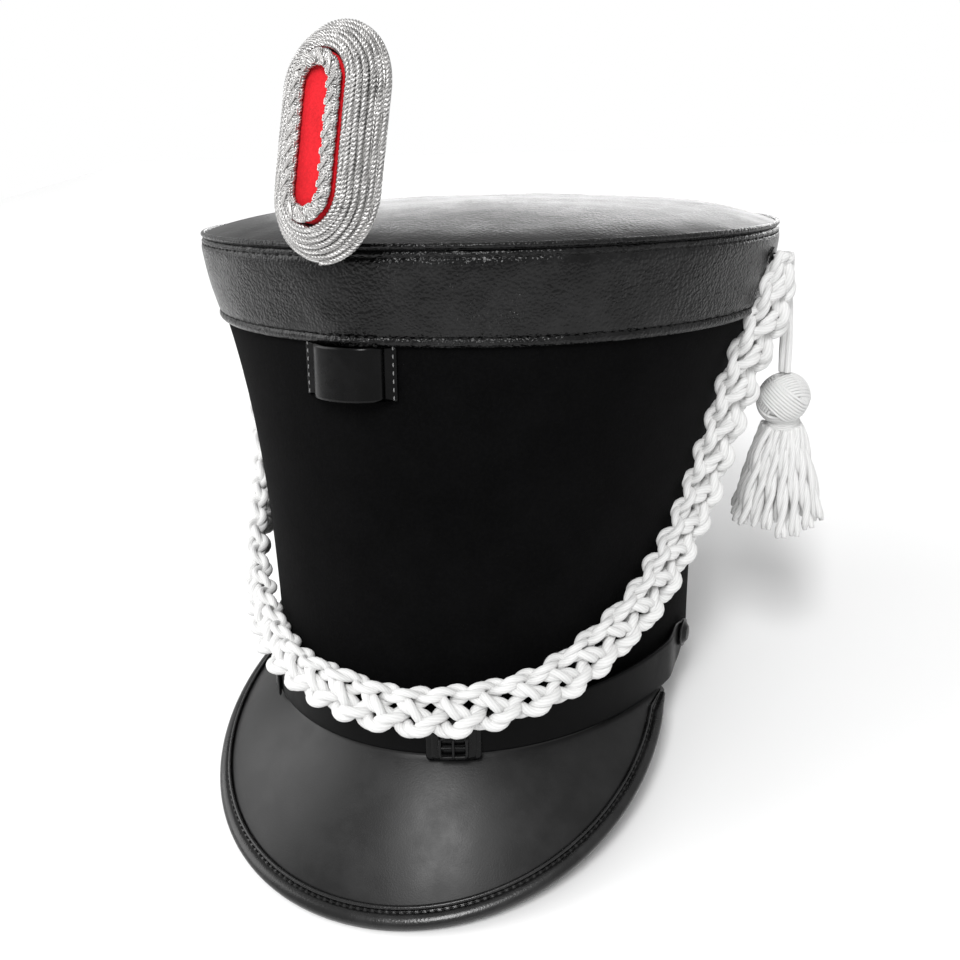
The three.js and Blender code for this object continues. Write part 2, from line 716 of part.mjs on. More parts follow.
const rosette = new THREE.Group();
rosette.position.copy(ROSETTE.back);
rosette.rotation.order = 'ZYX';
rosette.rotation.set(-ROSETTE.leanBack, 0, ROSETTE.turn);
hat.add(rosette);
const { halfWidth, halfHeight, faceHalfWidth, faceHalfHeight, depth } = ROSETTE;
const backing = rosettePlate(halfWidth - 1, halfHeight - 1, -1.2, -GAP);
piece('rosette_back', backing, GRAINED_LEATHER(), rosette);
piece('rosette_cord', rosetteCord(), SILVER_CORD(), rosette);
const field = rosettePlate(faceHalfWidth - GAP, faceHalfHeight - GAP, 0, depth);
piece('rosette_field', field, RED_FELT(), rosette);
piece('rosette_gimp', rosetteGimp(), SILVER_CORD(), rosette);
piece('rosette_stem', rosetteStem(), BLACK_METAL());

piece('festoon', festoon(), WHITE_CORD());
const plumb = new THREE.Group();
plumb.position.copy(TASSEL.top);
plumb.rotation.x = REST_TILT;
hat.add(plumb);
piece('tassel_cord', tasselCord(), WHITE_CORD(), plumb);
const knotMiddle = -TASSEL.cordLength - GAP - TASSEL.knotRadius * 1.03;
piece('tassel_knot', tasselKnot(), WHITE_CORD(), plumb).position.z = knotMiddle;
const fringeStart = knotMiddle - TASSEL.knotRadius * 1.03 - GAP;
piece('tassel_fringe', tasselFringe(), WHITE_CORD(), plumb).position.z = fringeStart;

hat.rotation.x = -REST_TILT;
hat.position.copy(REST_SHIFT);

const group = new THREE.Group();
group.add(hat);

export default group;
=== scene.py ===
"""Looks of a bell-topped shako: felt body, leather crown, band, peak and strap, rosette, cord and tassel.

Every shape is worked out in the hat's own axes, in metres: +Z up the hat's axis, -Y its front, +X the
wearer's left, with the origin at the middle of the body's lower edge. HatAxes.place leans it back as
the hat rests.
"""

import logging
import math
from dataclasses import dataclass
from enum import Enum

import bpy
import numpy as np
from mathutils import Matrix, Vector


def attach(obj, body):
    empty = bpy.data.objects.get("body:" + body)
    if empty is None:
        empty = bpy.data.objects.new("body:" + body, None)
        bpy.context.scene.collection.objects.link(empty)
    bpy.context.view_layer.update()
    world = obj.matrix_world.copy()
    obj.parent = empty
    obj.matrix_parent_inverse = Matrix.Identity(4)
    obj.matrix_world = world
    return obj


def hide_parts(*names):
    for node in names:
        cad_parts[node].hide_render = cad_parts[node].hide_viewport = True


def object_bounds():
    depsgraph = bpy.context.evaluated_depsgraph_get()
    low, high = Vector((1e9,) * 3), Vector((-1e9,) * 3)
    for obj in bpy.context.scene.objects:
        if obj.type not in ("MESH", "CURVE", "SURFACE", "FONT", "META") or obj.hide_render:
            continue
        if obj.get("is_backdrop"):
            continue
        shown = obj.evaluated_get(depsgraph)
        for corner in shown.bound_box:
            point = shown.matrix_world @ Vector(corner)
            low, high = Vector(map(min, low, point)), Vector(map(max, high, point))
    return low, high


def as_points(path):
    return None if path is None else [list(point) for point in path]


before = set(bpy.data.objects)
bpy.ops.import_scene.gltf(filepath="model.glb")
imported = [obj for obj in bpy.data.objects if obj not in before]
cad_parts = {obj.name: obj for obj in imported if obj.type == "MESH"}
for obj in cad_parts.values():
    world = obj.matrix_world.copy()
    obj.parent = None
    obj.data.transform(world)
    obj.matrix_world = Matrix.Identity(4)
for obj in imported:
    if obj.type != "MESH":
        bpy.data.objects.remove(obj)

CAD_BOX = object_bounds()
LOG = logging.getLogger("shako")
BODY = "root"
TURN = 2 * math.pi
Array = np.ndarray


class Slot(Enum):
    """The finishes that the pieces take."""

    FELT = "felt_black"
    GRAINED = "leather_grained"
    SMOOTH = "leather_smooth"
    PATENT = "leather_patent"
    METAL = "metal_black"
    SILVER = "cord_silver"
    RED = "felt_red"
    WHITE = "cord_white"


# ---- the hat's axes and the outline of its body -------------------------------------------------


@dataclass(frozen=True)
class HatAxes:
    """The hat's own axes at rest, and the oval of its felt body at each height."""

    lean: float = math.radians(10.22)
    shift: tuple[float, float, float] = (0.0, 0.00775, 0.01876)
    base_half_width: float = 0.086
    base_half_depth: float = 0.1095
    base_forward: float = 0.0038
    neck_radius: float = 0.1082
    flare_power: float = 3.05
    band_foot: float = 0.1462

    def turned(self, vectors: Array) -> Array:
        """Turns directions from the hat's axes to the row's: a lean about X, its top backwards.

        Args:
            vectors: directions, a row each.

        Returns:
            The directions: y and z mix by the lean's cosine and sine.
        """
        x, y, z = np.moveaxis(np.asarray(vectors, float), -1, 0)
        c, s = math.cos(self.lean), math.sin(self.lean)
        return np.stack([x, c * y + s * z, c * z - s * y], -1)

    def place(self, points: Array) -> Array:
        """Puts points given in the hat's axes where the resting hat has them."""
        return self.turned(points) + np.array(self.shift)

    def oval(self, z: Array) -> tuple[Array, Array, Array]:
        """Half width, half depth and forward shift at height z: the head's oval flares by a power of z.

        Args:
            z: height above the lower edge.

        Returns:
            Half width, half depth and how far the oval's middle lies forward.
        """
        flare = np.clip(np.asarray(z, float) / self.band_foot, 0, 1) ** self.flare_power
        width = self.base_half_width + (self.neck_radius - self.base_half_width) * flare
        depth = self.base_half_depth + (self.neck_radius - self.base_half_depth) * flare
        return width, depth, self.base_forward * (1 - flare)

    def normal(self, phi: Array, z: Array) -> Array:
        """The level direction straight out of the oval at angle phi from the front and height z.

        Args:
            phi: angle from the front towards the wearer's left.
            z: height above the lower edge.

        Returns:
            Unit vectors: the ellipse's gradient, which is each coordinate over its half axis.
        """
        width, depth, _ = self.oval(z)
        phi = np.asarray(phi, float)
        across, ahead = np.broadcast_arrays(np.sin(phi) / width, -np.cos(phi) / depth)
        flat = np.stack([across, ahead, np.zeros_like(across)], -1)
        return flat / np.linalg.norm(flat, axis=-1, keepdims=True)

    def on_hat(self, phi: Array, z: Array, out: Array) -> Array:
        """Points at angle phi, height z and the distance out from the felt's face.

        Args:
            phi: angle from the front towards the wearer's left.
            z: height above the lower edge.
            out: distance from the felt's outer face.

        Returns:
            The points, in the hat's axes: the oval's point plus out times its normal.
        """
        width, depth, forward = self.oval(z)
        phi, z, out = np.asarray(phi, float), np.asarray(z, float), np.asarray(out, float)
        x, y, height, away = np.broadcast_arrays(
            width * np.sin(phi), -depth * np.cos(phi) - forward, z, out
        )
        return np.stack([x, y, height], -1) + away[..., None] * self.normal(phi, z)

    def along(self, phi: float, z: Array, distance: Array) -> Array:
        """The angle that lies a distance along the oval from phi at height z."""
        width, depth, _ = self.oval(z)
        return phi + distance / np.hypot(width * math.cos(phi), depth * math.sin(phi))


HAT = HatAxes()

# ---- arrays of points into meshes ---------------------------------------------------------------


def unit(vectors: Array) -> Array:
    """Vectors scaled to length one along the last axis."""
    return vectors / np.maximum(np.linalg.norm(vectors, axis=-1, keepdims=True), 1e-12)


def smooth_step(value: Array, low: float, high: float) -> Array:
    """0 below low, 1 above high, and a smooth cubic between them."""
    share = np.clip((np.asarray(value, float) - low) / (high - low), 0, 1)
    return share * share * (3 - 2 * share)


def distances(line: Array) -> Array:
    """Distance along a line of points, from its first."""
    steps = np.linalg.norm(np.diff(line, axis=0), axis=1)
    return np.concatenate([[0.0], np.cumsum(steps)])


def resampled(line: Array, count: int) -> Array:
    """The same line with count points at equal distances along it.

    Args:
        line: points, a row each.
        count: how many points come back.

    Returns:
        The points, interpolated between the given ones by distance.
    """
    at = distances(line)
    wanted = np.linspace(0, at[-1], count)
    return np.stack([np.interp(wanted, at, line[:, i]) for i in range(line.shape[1])], -1)


def spline(points: Array, count: int) -> Array:
    """A centripetal Catmull-Rom curve through points, with count points at equal distances.

    Args:
        points: the curve's knots, a row each.
        count: how many points come back.

    Returns:
        The curve: a cubic on each span whose end slopes come from the neighbouring knots, where a
        span's share of the parameter is the square root of its length.
    """
    points = np.asarray(points, float)
    ends = [2 * points[:1] - points[1:2], 2 * points[-1:] - points[-2:-1]]
    p = np.concatenate([ends[0], points, ends[1]])
    gap = np.sqrt(np.linalg.norm(np.diff(p, axis=0), axis=1))[:, None]
    a, b, c = gap[:-2], gap[1:-1], gap[2:]
    first = (p[1:-2] - p[:-3]) / a - (p[2:-1] - p[:-3]) / (a + b) + (p[2:-1] - p[1:-2]) / b
    second = (p[2:-1] - p[1:-2]) / b - (p[3:] - p[1:-2]) / (b + c) + (p[3:] - p[2:-1]) / c
    t = np.linspace(0, 1, 24, endpoint=False)[None, :, None]
    start, end = p[1:-2, None], p[2:-1, None]
    slope, slope_end = (first * b)[:, None], (second * b)[:, None]
    spans = (
        start * (2 * t**3 - 3 * t**2 + 1)
        + slope * (t**3 - 2 * t**2 + t)
        + end * (3 * t**2 - 2 * t**3)
        + slope_end * (t**3 - t**2)
    )
    return resampled(np.concatenate([spans.reshape(-1, p.shape[1]), points[-1:]]), count)


def closed_spline(points: Array, count: int) -> Array:
    """A smooth closed outline through points, with count points and no repeated end.

    Args:
        points: the outline's knots, a row each.
        count: how many points come back.

    Returns:
        One lap of the spline that runs on past its first knot, so that it has no corner there.
    """
    points = np.asarray(points, float)
    lap = np.concatenate([points[-2:], points, points[:3]])
    curve = spline(lap, 60 * len(lap))
    starts = np.linalg.norm(curve[: len(curve) // 2] - points[0], axis=1).argmin()
    half = len(curve) // 2
    ends = half + np.linalg.norm(curve[half:] - points[0], axis=1).argmin()
    return resampled(curve[starts : ends + 1], count + 1)[:-1]


def frames(line: Array, hint: Array) -> tuple[Array, Array, Array]:
    """Tangent, normal and side at each point of a line, its normal as near the hint as it can be.

    Args:
        line: points, a row each.
        hint: a direction, or one for each point.

    Returns:
        Three arrays of unit vectors, square to each other.
    """
    tangent = unit(np.gradient(line, axis=0))
    hint = np.broadcast_to(hint, line.shape)
    normal = unit(hint - (hint * tangent).sum(-1, keepdims=True) * tangent)
    return tangent, normal, np.cross(tangent, normal)


class MeshKit:
    """Gathers grids of points, and makes one piece of them."""

    def __init__(self, *grids: Array, wrap_rows: bool = False) -> None:
        """Starts with the grids given, all joined the same way, or with none.

        Args:
            grids: grids of points, as add takes them.
            wrap_rows: whether each grid's last row joins its first.
        """
        self.points: list[Array] = []
        self.quads: list[Array] = []
        self.caps: list[list[int]] = []
        self.uvs: list[Array] = []
        self.cap_corners = 0
        self.total = 0
        for grid in grids:
            self.add(grid, wrap_rows)

    def add(self, grid: Array, wrap_rows: bool = False) -> None:
        """Adds a grid of points, a quad between each four neighbours; its last column joins its first.

        Args:
            grid: points of shape (rows, columns, 3), or (copies, rows, columns, 3).
            wrap_rows: whether the last row joins the first too. If not, a face closes each open end.
        """
        if grid.ndim == 3:
            grid = grid[None]
        copies, rows, cols = grid.shape[:3]
        quads, uv = self._cells(grid[0], wrap_rows)
        size = rows * cols
        starts = self.total + size * np.arange(copies)
        every = starts[:, None, None] + quads[None]
        if self._inside_out(grid[0], quads):
            every, uv = every[..., ::-1], uv[:, ::-1]
            ends = [np.arange(cols), (rows - 1) * cols + np.arange(cols)[::-1]]
        else:
            ends = [np.arange(cols)[::-1], (rows - 1) * cols + np.arange(cols)]
        self.points.append(grid.reshape(-1, 3))
        self.quads.append(every.reshape(-1, 4))
        self.uvs.append(np.tile(uv.reshape(-1, 2), (copies, 1)))
        if not wrap_rows:
            self.caps += [(start + end).tolist() for start in starts for end in ends]
            self.cap_corners += 2 * copies * cols
        self.total += copies * size

    @staticmethod
    def _cells(grid: Array, wrap_rows: bool) -> tuple[Array, Array]:
        """The quads of one grid and their corners' UV: distance along, and share around.

        Args:
            grid: points of shape (rows, columns, 3).
            wrap_rows: whether the last row joins the first.

        Returns:
            Four point numbers for each quad, and four (U, V) pairs.
        """
        rows, cols = grid.shape[:2]
        first_rows = np.arange(rows if wrap_rows else rows - 1)
        i, j = (part.ravel() for part in np.meshgrid(first_rows, np.arange(cols), indexing="ij"))
        k, m = (i + 1) % rows, (j + 1) % cols
        quads = np.stack([i * cols + j, i * cols + m, k * cols + m, k * cols + j], -1)
        at = distances(grid.mean(axis=1))
        at = np.append(at, at[-1] + np.linalg.norm(grid[0].mean(0) - grid[-1].mean(0)))
        u = np.stack([at[i], at[i], at[i + 1], at[i + 1]], -1)
        v = np.stack([j, j + 1, j + 1, j], -1) / cols
        return quads, np.stack([u, v], -1)

    @staticmethod
    def _inside_out(grid: Array, quads: Array) -> bool:
        """Whether a closed grid's faces point inwards: the volume that they hold is negative.

        Args:
            grid: points of shape (rows, columns, 3).
            quads: four point numbers for each quad.

        Returns:
            True where the sum of the quads' signed volumes about the middle is negative.
        """
        flat = grid.reshape(-1, 3) - grid.reshape(-1, 3).mean(0)
        a, b, c, d = (flat[quads[:, n]] for n in range(4))
        volume = (a * np.cross(b, c)).sum() + (a * np.cross(c, d)).sum()
        return bool(volume < 0)

    def mesh(self, name: str) -> bpy.types.Mesh:
        """The mesh of everything that was added, smooth, with a UV map named Surface.

        Args:
            name: the mesh's name.

        Returns:
            The mesh, with each quad first and each end's face after them.
        """
        quads = np.concatenate(self.quads)
        faces = quads.tolist() + self.caps
        mesh = bpy.data.meshes.new(name)
        mesh.from_pydata(np.concatenate(self.points).tolist(), [], faces)
        uv = np.concatenate([*self.uvs, np.zeros((self.cap_corners, 2))])
        layer = mesh.uv_layers.new(name="Surface")
        layer.data.foreach_set("uv", uv.astype(np.float32).ravel())
        mesh.polygons.foreach_set("use_smooth", np.ones(len(faces), bool))
        mesh.update()
        return mesh

    def piece(
        self, name: str, material: bpy.types.Material, slot: Slot, *nodes: str
    ) -> bpy.types.Object:
        """Makes the mesh an object, dresses it, and lets it ride on the hat.

        Args:
            name: the piece's name.
            material: its finish.
            slot: the record's slot for that finish; not used.
            nodes: the CAD nodes that it stands for.

        Returns:
            The object.
        """
        mesh = self.mesh(name)
        made = bpy.data.objects.new(name, mesh)
        bpy.context.scene.collection.objects.link(made)
        mesh.materials.append(material)
        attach(made, BODY)
        if nodes:
            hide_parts(*nodes)
        LOG.info("%s: %d faces", name, len(mesh.polygons))
        return made


def tube(line: Array, normal: Array, side: Array, radius: Array, sides: int) -> Array:
    """A round tube's grid: at each point of the line, a circle in the normal and side directions.

    Args:
        line: the middle line, a point a row.
        normal: a direction across the line at each point.
        side: the direction square to both.
        radius: the tube's radius, or one for each point.
        sides: points on each circle.

    Returns:
        Points of shape (points, sides, 3).
    """
    turn = np.linspace(0, TURN, sides, endpoint=False)
    radius = np.broadcast_to(np.asarray(radius, float), (len(line),))[:, None, None]
    ring = np.cos(turn)[:, None] * normal[:, None] + np.sin(turn)[:, None] * side[:, None]
    return line[:, None] + radius * ring


def strip_outline(line: Array, thickness: float, round_steps: int = 4) -> Array:
    """The closed outline of a strip of leather along each (out, up) line, with round ends.

    Args:
        line: middle lines, of shape (..., points, 2).
        thickness: the leather's thickness.
        round_steps: points on each round end.

    Returns:
        Outlines of shape (..., 2 * points + 2 * round_steps, 2): up one side at half the thickness,
        a half circle over the end, and back along the other side.
    """
    ahead = unit(np.gradient(line, axis=-2))
    aside = np.stack([ahead[..., 1], -ahead[..., 0]], -1)
    half = thickness / 2
    turn = np.linspace(0, math.pi, round_steps + 2)[1:-1, None]
    end = line[..., -1:, :] + half * (
        np.cos(turn) * aside[..., -1:, :] + np.sin(turn) * ahead[..., -1:, :]
    )
    start = line[..., :1, :] - half * (
        np.cos(turn) * aside[..., :1, :] + np.sin(turn) * ahead[..., :1, :]
    )
    back = (line - half * aside)[..., ::-1, :]
    return np.concatenate([line + half * aside, end, back, start], axis=-2)


def turned_profile(profile: Array, steps: int, swell: Array | None = None) -> Array:
    """A profile of (radius, height) turned about the hat's axis, as a grid in the row's axes.

    Args:
        profile: the outline, as (radius, height) rows.
        steps: points round the axis.
        swell: what is added to the radius, for each step and each point of the outline.

    Returns:
        Points of shape (steps, points, 3).
    """
    phi = np.linspace(0, TURN, steps, endpoint=False)
    radial = np.stack([np.sin(phi), -np.cos(phi), np.zeros(steps)], -1)
    radius = np.broadcast_to(profile[:, 0], (steps, len(profile)))
    if swell is not None:
        radius = radius + swell
    grid = radius[..., None] * radial[:, None]
    grid[..., 2] = profile[:, 1]
    return HAT.place(grid)


@dataclass(frozen=True)
class Stitch:
    """One kind of stitch: its spacing, length and thread, and how deep its ends dip."""

    pitch: float
    length: float
    radius: float
    sink: float

    def row(self, line: Array, outward: Array) -> Array:
        """Stitches along a line, each a small capsule that dips into the leather at both its ends.

        Args:
            line: the seam, a point a row, in the row's axes.
            outward: the direction out of the leather at each point.

        Returns:
            Grids of shape (stitches, 7, 6, 3), along a half wave whose radius thins at both ends.
        """
        count = max(int(distances(line)[-1] / self.pitch), 2)
        both = resampled(np.concatenate([line, outward], axis=1), count)
        at, up = both[:, :3], unit(both[:, 3:])
        ahead, up, side = frames(at, up)
        share = np.linspace(-1, 1, 7)
        rise = self.sink * (1 - 2 * share**2)
        thick = self.radius * np.sqrt(np.clip(1.04 - share**2, 0, 1))
        spine = (
            at[:, None]
            + (self.length / 2) * share[None, :, None] * ahead[:, None]
            + rise[None, :, None] * up[:, None]
        )
        turn = np.linspace(0, TURN, 6, endpoint=False)
        ring = (
            np.cos(turn)[None, None, :, None] * up[:, None, None]
            + np.sin(turn)[None, None, :, None] * side[:, None, None]
        )
        return spine[:, :, None] + thick[None, :, None, None] * ring


# ---- finishes -----------------------------------------------------------------------------------


class Wiring:
    """A short way to add shader nodes and join them."""

    def __init__(self, name: str) -> None:
        """Makes an empty material.

        Args:
            name: the material's name.
        """
        self.material = bpy.data.materials.new(name)
        self.material.use_nodes = True
        self.tree = self.material.node_tree
        self.tree.nodes.clear()
        self.coordinates = self.tree.nodes.new("ShaderNodeTexCoord")

    def node(self, kind: str, inputs: dict, **settings: object) -> bpy.types.Node:
        """Adds a node, sets it, and fills its inputs with numbers or other nodes' sockets.

        Args:
            kind: the node's type.
            inputs: a number or a socket for each input, by name or index.
            settings: the node's own properties.

        Returns:
            The node.
        """
        made = self.tree.nodes.new(kind)
        for name, value in settings.items():
            setattr(made, name, value)
        for name, value in inputs.items():
            if isinstance(value, bpy.types.NodeSocket):
                self.tree.links.new(value, made.inputs[name])
            else:
                made.inputs[name].default_value = value
        return made

    def math(self, operation: str, first: object, second: object = 0.0) -> bpy.types.NodeSocket:
        """A Math node's result."""
        made = self.node("ShaderNodeMath", {0: first, 1: second}, operation=operation)
        return made.outputs[0]

    def noise(self, size: float, detail: float = 2.0, rough: float = 0.5) -> bpy.types.NodeSocket:
        """Noise on the object's own coordinates whose blobs are about size across.

        Args:
            size: how wide a blob is.
            detail: how many finer layers lie on it.
            rough: how strong they are.

        Returns:
            The noise, from 0 to 1.
        """
        inputs = {
            "Vector": self.coordinates.outputs["Object"],
            "Scale": 1 / size,
            "Detail": detail,
            "Roughness": rough,
        }
        return self.node("ShaderNodeTexNoise", inputs).outputs["Fac"]

    def spread(self, value: object, low: float, high: float, to: tuple) -> bpy.types.NodeSocket:
        """Maps a value from low..high to the two numbers of to, held inside them.

        Args:
            value: a number or a socket.
            low: what becomes the first number.
            high: what becomes the second.
            to: the two numbers.

        Returns:
            The mapped value.
        """
        inputs = {
            "Value": value, "From Min": low, "From Max": high, "To Min": to[0], "To Max": to[1],
        }
        return self.node("ShaderNodeMapRange", inputs).outputs[0]

    def blend(self, share: object, first: tuple, second: tuple) -> bpy.types.NodeSocket:
        """A colour between two, by a share.

        Args:
            share: 0 for the first colour, 1 for the second.
            first: red, green and blue.
            second: red, green and blue.

        Returns:
            The colour.
        """
        made = self.node("ShaderNodeMix", {0: share}, data_type="RGBA")
        made.inputs[6].default_value = (*first, 1)
        made.inputs[7].default_value = (*second, 1)
        return made.outputs[2]

    def bump(self, height: object, distance: float, before: object = None) -> bpy.types.NodeSocket:
        """A bump of a real depth, on top of an earlier one.

        Args:
            height: the height, as a share of the distance.
            distance: the depth in metres.
            before: an earlier bump's normal.

        Returns:
            The normal.
        """
        inputs = {"Height": height, "Distance": distance, "Strength": 1.0}
        if before is not None:
            inputs["Normal"] = before
        return self.node("ShaderNodeBump", inputs).outputs[0]

    def finish(self, **inputs: object) -> bpy.types.Material:
        """Joins the surface shader, whose inputs are given by name with _ for a space.

        Args:
            inputs: a number, a colour or a socket for each input.

        Returns:
            The finished material.
        """
        named = {name.replace("_", " "): value for name, value in inputs.items()}
        surface = self.node("ShaderNodeBsdfPrincipled", named)
        out = self.tree.nodes.new("ShaderNodeOutputMaterial")
        self.tree.links.new(surface.outputs[0], out.inputs[0])
        return self.material


@dataclass(frozen=True)
class LeatherFinish:
    """Dyed leather: pebbles between fine creases, pores, a slightly uneven polish, and a painted
    highlight on each pebble's top.
    """

    name: str
    dark: tuple[float, float, float] = (0.003, 0.003, 0.0032)
    light: tuple[float, float, float] = (0.009, 0.009, 0.0093)
    pebble: float = 0.001
    pebble_depth: float = 0.0003
    pore: float = 0.0004
    pore_depth: float = 0.00004
    rough: tuple[float, float] = (0.3, 0.42)
    specular: float = 0.3
    painted_glint: float = 0.0

    def material(self) -> bpy.types.Material:
        """Cell distances make the pebbles, noise bends them, and a broad noise fades them.

        The painted glint is the share of the lighter tone that is painted on the top of each pebble as a
        painted highlight, which leaves the creases between pebbles darker as painted shade, against broad
        wear.

        Returns:
            The material.
        """
        w = Wiring(self.name)
        bend = w.node(
            "ShaderNodeTexNoise",
            {"Vector": w.coordinates.outputs["Object"], "Scale": 0.35 / self.pebble},
        )
        push = w.node(
            "ShaderNodeVectorMath",
            {0: bend.outputs["Color"], 1: (self.pebble,) * 3},
            operation="MULTIPLY",
        )
        place = w.node(
            "ShaderNodeVectorMath", {0: w.coordinates.outputs["Object"], 1: push.outputs[0]}
        )
        cells = w.node(
            "ShaderNodeTexVoronoi",
            {"Vector": place.outputs[0], "Scale": 1 / self.pebble, "Smoothness": 0.35},
            feature="SMOOTH_F1",
        )
        patches = w.spread(w.noise(0.02, 3), 0.35, 0.7, (0.35, 1.0))
        pebbles = w.math("MULTIPLY", w.math("SUBTRACT", 1.0, cells.outputs["Distance"]), patches)
        creases = w.bump(w.noise(self.pebble * 4, 4, 0.6), self.pebble_depth * 0.7)
        grain = w.bump(pebbles, self.pebble_depth, creases)
        pores = w.bump(w.noise(self.pore, 2), self.pore_depth, grain)
        wear = w.spread(w.noise(0.012, 4, 0.65), 0.38, 0.66, (0.0, 1.0))
        # Painted highlight: the top of each pebble is lighter in colour, as if lit, and the creases
        # between them stay darker as painted shade.
        painted_glints = w.math("MULTIPLY", w.spread(pebbles, 0.35, 0.85, (0.0, self.painted_glint)), patches)
        tone = w.math("ADD", w.math("MULTIPLY", wear, 1 - self.painted_glint), painted_glints)
        return w.finish(
            Base_Color=w.blend(tone, self.dark, self.light),
            Roughness=w.spread(wear, 0, 1, self.rough),
            Specular_IOR_Level=self.specular,
            Normal=pores,
        )


@dataclass(frozen=True)
class FeltFinish:
    """Hard felt: matted fibres, a little nap that catches light, and faint cloudiness."""

    name: str
    dark: tuple[float, float, float] = (0.001, 0.001, 0.0011)
    light: tuple[float, float, float] = (0.0026, 0.0026, 0.0028)
    sheen: float = 0.006
    specular: float = 0.05
    fibre: float = 0.0006
    depth: float = 0.00012

    def material(self) -> bpy.types.Material:
        """Two noises of fibres, one fine and one matted, over a broad cloud of tone.

        Returns:
            The material.
        """
        w = Wiring(self.name)
        mat = w.bump(w.noise(self.fibre * 4, 4, 0.7), self.depth * 1.6)
        nap = w.bump(w.noise(self.fibre, 3, 0.8), self.depth, mat)
        cloud = w.spread(w.noise(0.018, 4, 0.6), 0.35, 0.68, (0.0, 1.0))
        fleck = w.spread(w.noise(self.fibre * 2, 2, 0.7), 0.4, 0.66, (0.0, 1.0))
        tone = w.math("MULTIPLY", w.math("ADD", cloud, fleck), 0.5)
        return w.finish(
            Base_Color=w.blend(tone, self.dark, self.light),
            Roughness=0.95,
            Specular_IOR_Level=self.specular,
            Sheen_Weight=self.sheen,
            Sheen_Roughness=0.5,
            Normal=nap,
        )


@dataclass(frozen=True)
class YarnFinish:
    """Twisted yarn: fine threads that wind around each ply, read from the piece's own UV map."""

    name: str
    dark: tuple[float, float, float]
    light: tuple[float, float, float]
    threads: float = 7.0
    lay: float = 0.008
    depth: float = 0.00012
    fuzz: float = 0.00006
    rough: float = 0.8
    metal: float = 0.0
    sheen: float = 0.25
    specular: float = 0.3

    def material(self) -> bpy.types.Material:
        """A sine of (threads * around + distance / lay) is the winding of the threads; the colour follows
        it, as painted shade in the grooves between them.

        Returns:
            The material.
        """
        w = Wiring(self.name)
        uv = w.node("ShaderNodeSeparateXYZ", {0: w.coordinates.outputs["UV"]})
        wobble = w.math("MULTIPLY", w.noise(0.004, 2), 0.9)
        turns = w.math(
            "ADD",
            w.math("MULTIPLY", uv.outputs[1], self.threads),
            w.math("DIVIDE", uv.outputs[0], self.lay),
        )
        wave = w.math("SINE", w.math("MULTIPLY", w.math("ADD", turns, wobble), TURN))
        ridge = w.spread(wave, -1.0, 0.6, (0.0, 1.0))
        fuzz = w.bump(w.noise(0.00035, 3, 0.7), self.fuzz)
        wound = w.bump(ridge, self.depth, fuzz)
        # Painted shade: the colour is darker in the grooves between the threads and lighter on their
        # crests, with a random noise of tone on top.
        tone = w.math("MULTIPLY", w.math("ADD", ridge, w.noise(0.006, 3)), 0.62)
        return w.finish(
            Base_Color=w.blend(tone, self.dark, self.light),
            Roughness=self.rough,
            Metallic=self.metal,
            Specular_IOR_Level=self.specular,
            Sheen_Weight=self.sheen,
            Sheen_Roughness=0.4,
            Normal=wound,
        )


@dataclass(frozen=True)
class LacquerFinish:
    """Black lacquered metal, with small scratches and worn spots."""

    name: str
    dark: tuple[float, float, float] = (0.002, 0.002, 0.0022)
    light: tuple[float, float, float] = (0.04, 0.04, 0.042)
    rough: tuple[float, float] = (0.2, 0.4)

    def material(self) -> bpy.types.Material:
        """A fine noise chips the lacquer a little, and a broad one dulls it.

        Returns:
            The material.
        """
        w = Wiring(self.name)
        chips = w.spread(w.noise(0.0011, 4, 0.75), 0.62, 0.72, (0.0, 1.0))
        dull = w.spread(w.noise(0.006, 3), 0.35, 0.65, self.rough)
        return w.finish(
            Base_Color=w.blend(chips, self.dark, self.light),
            Roughness=dull,
            Metallic=0.05,
            Specular_IOR_Level=0.22,
            Normal=w.bump(w.noise(0.0009, 2), 0.00001),
        )


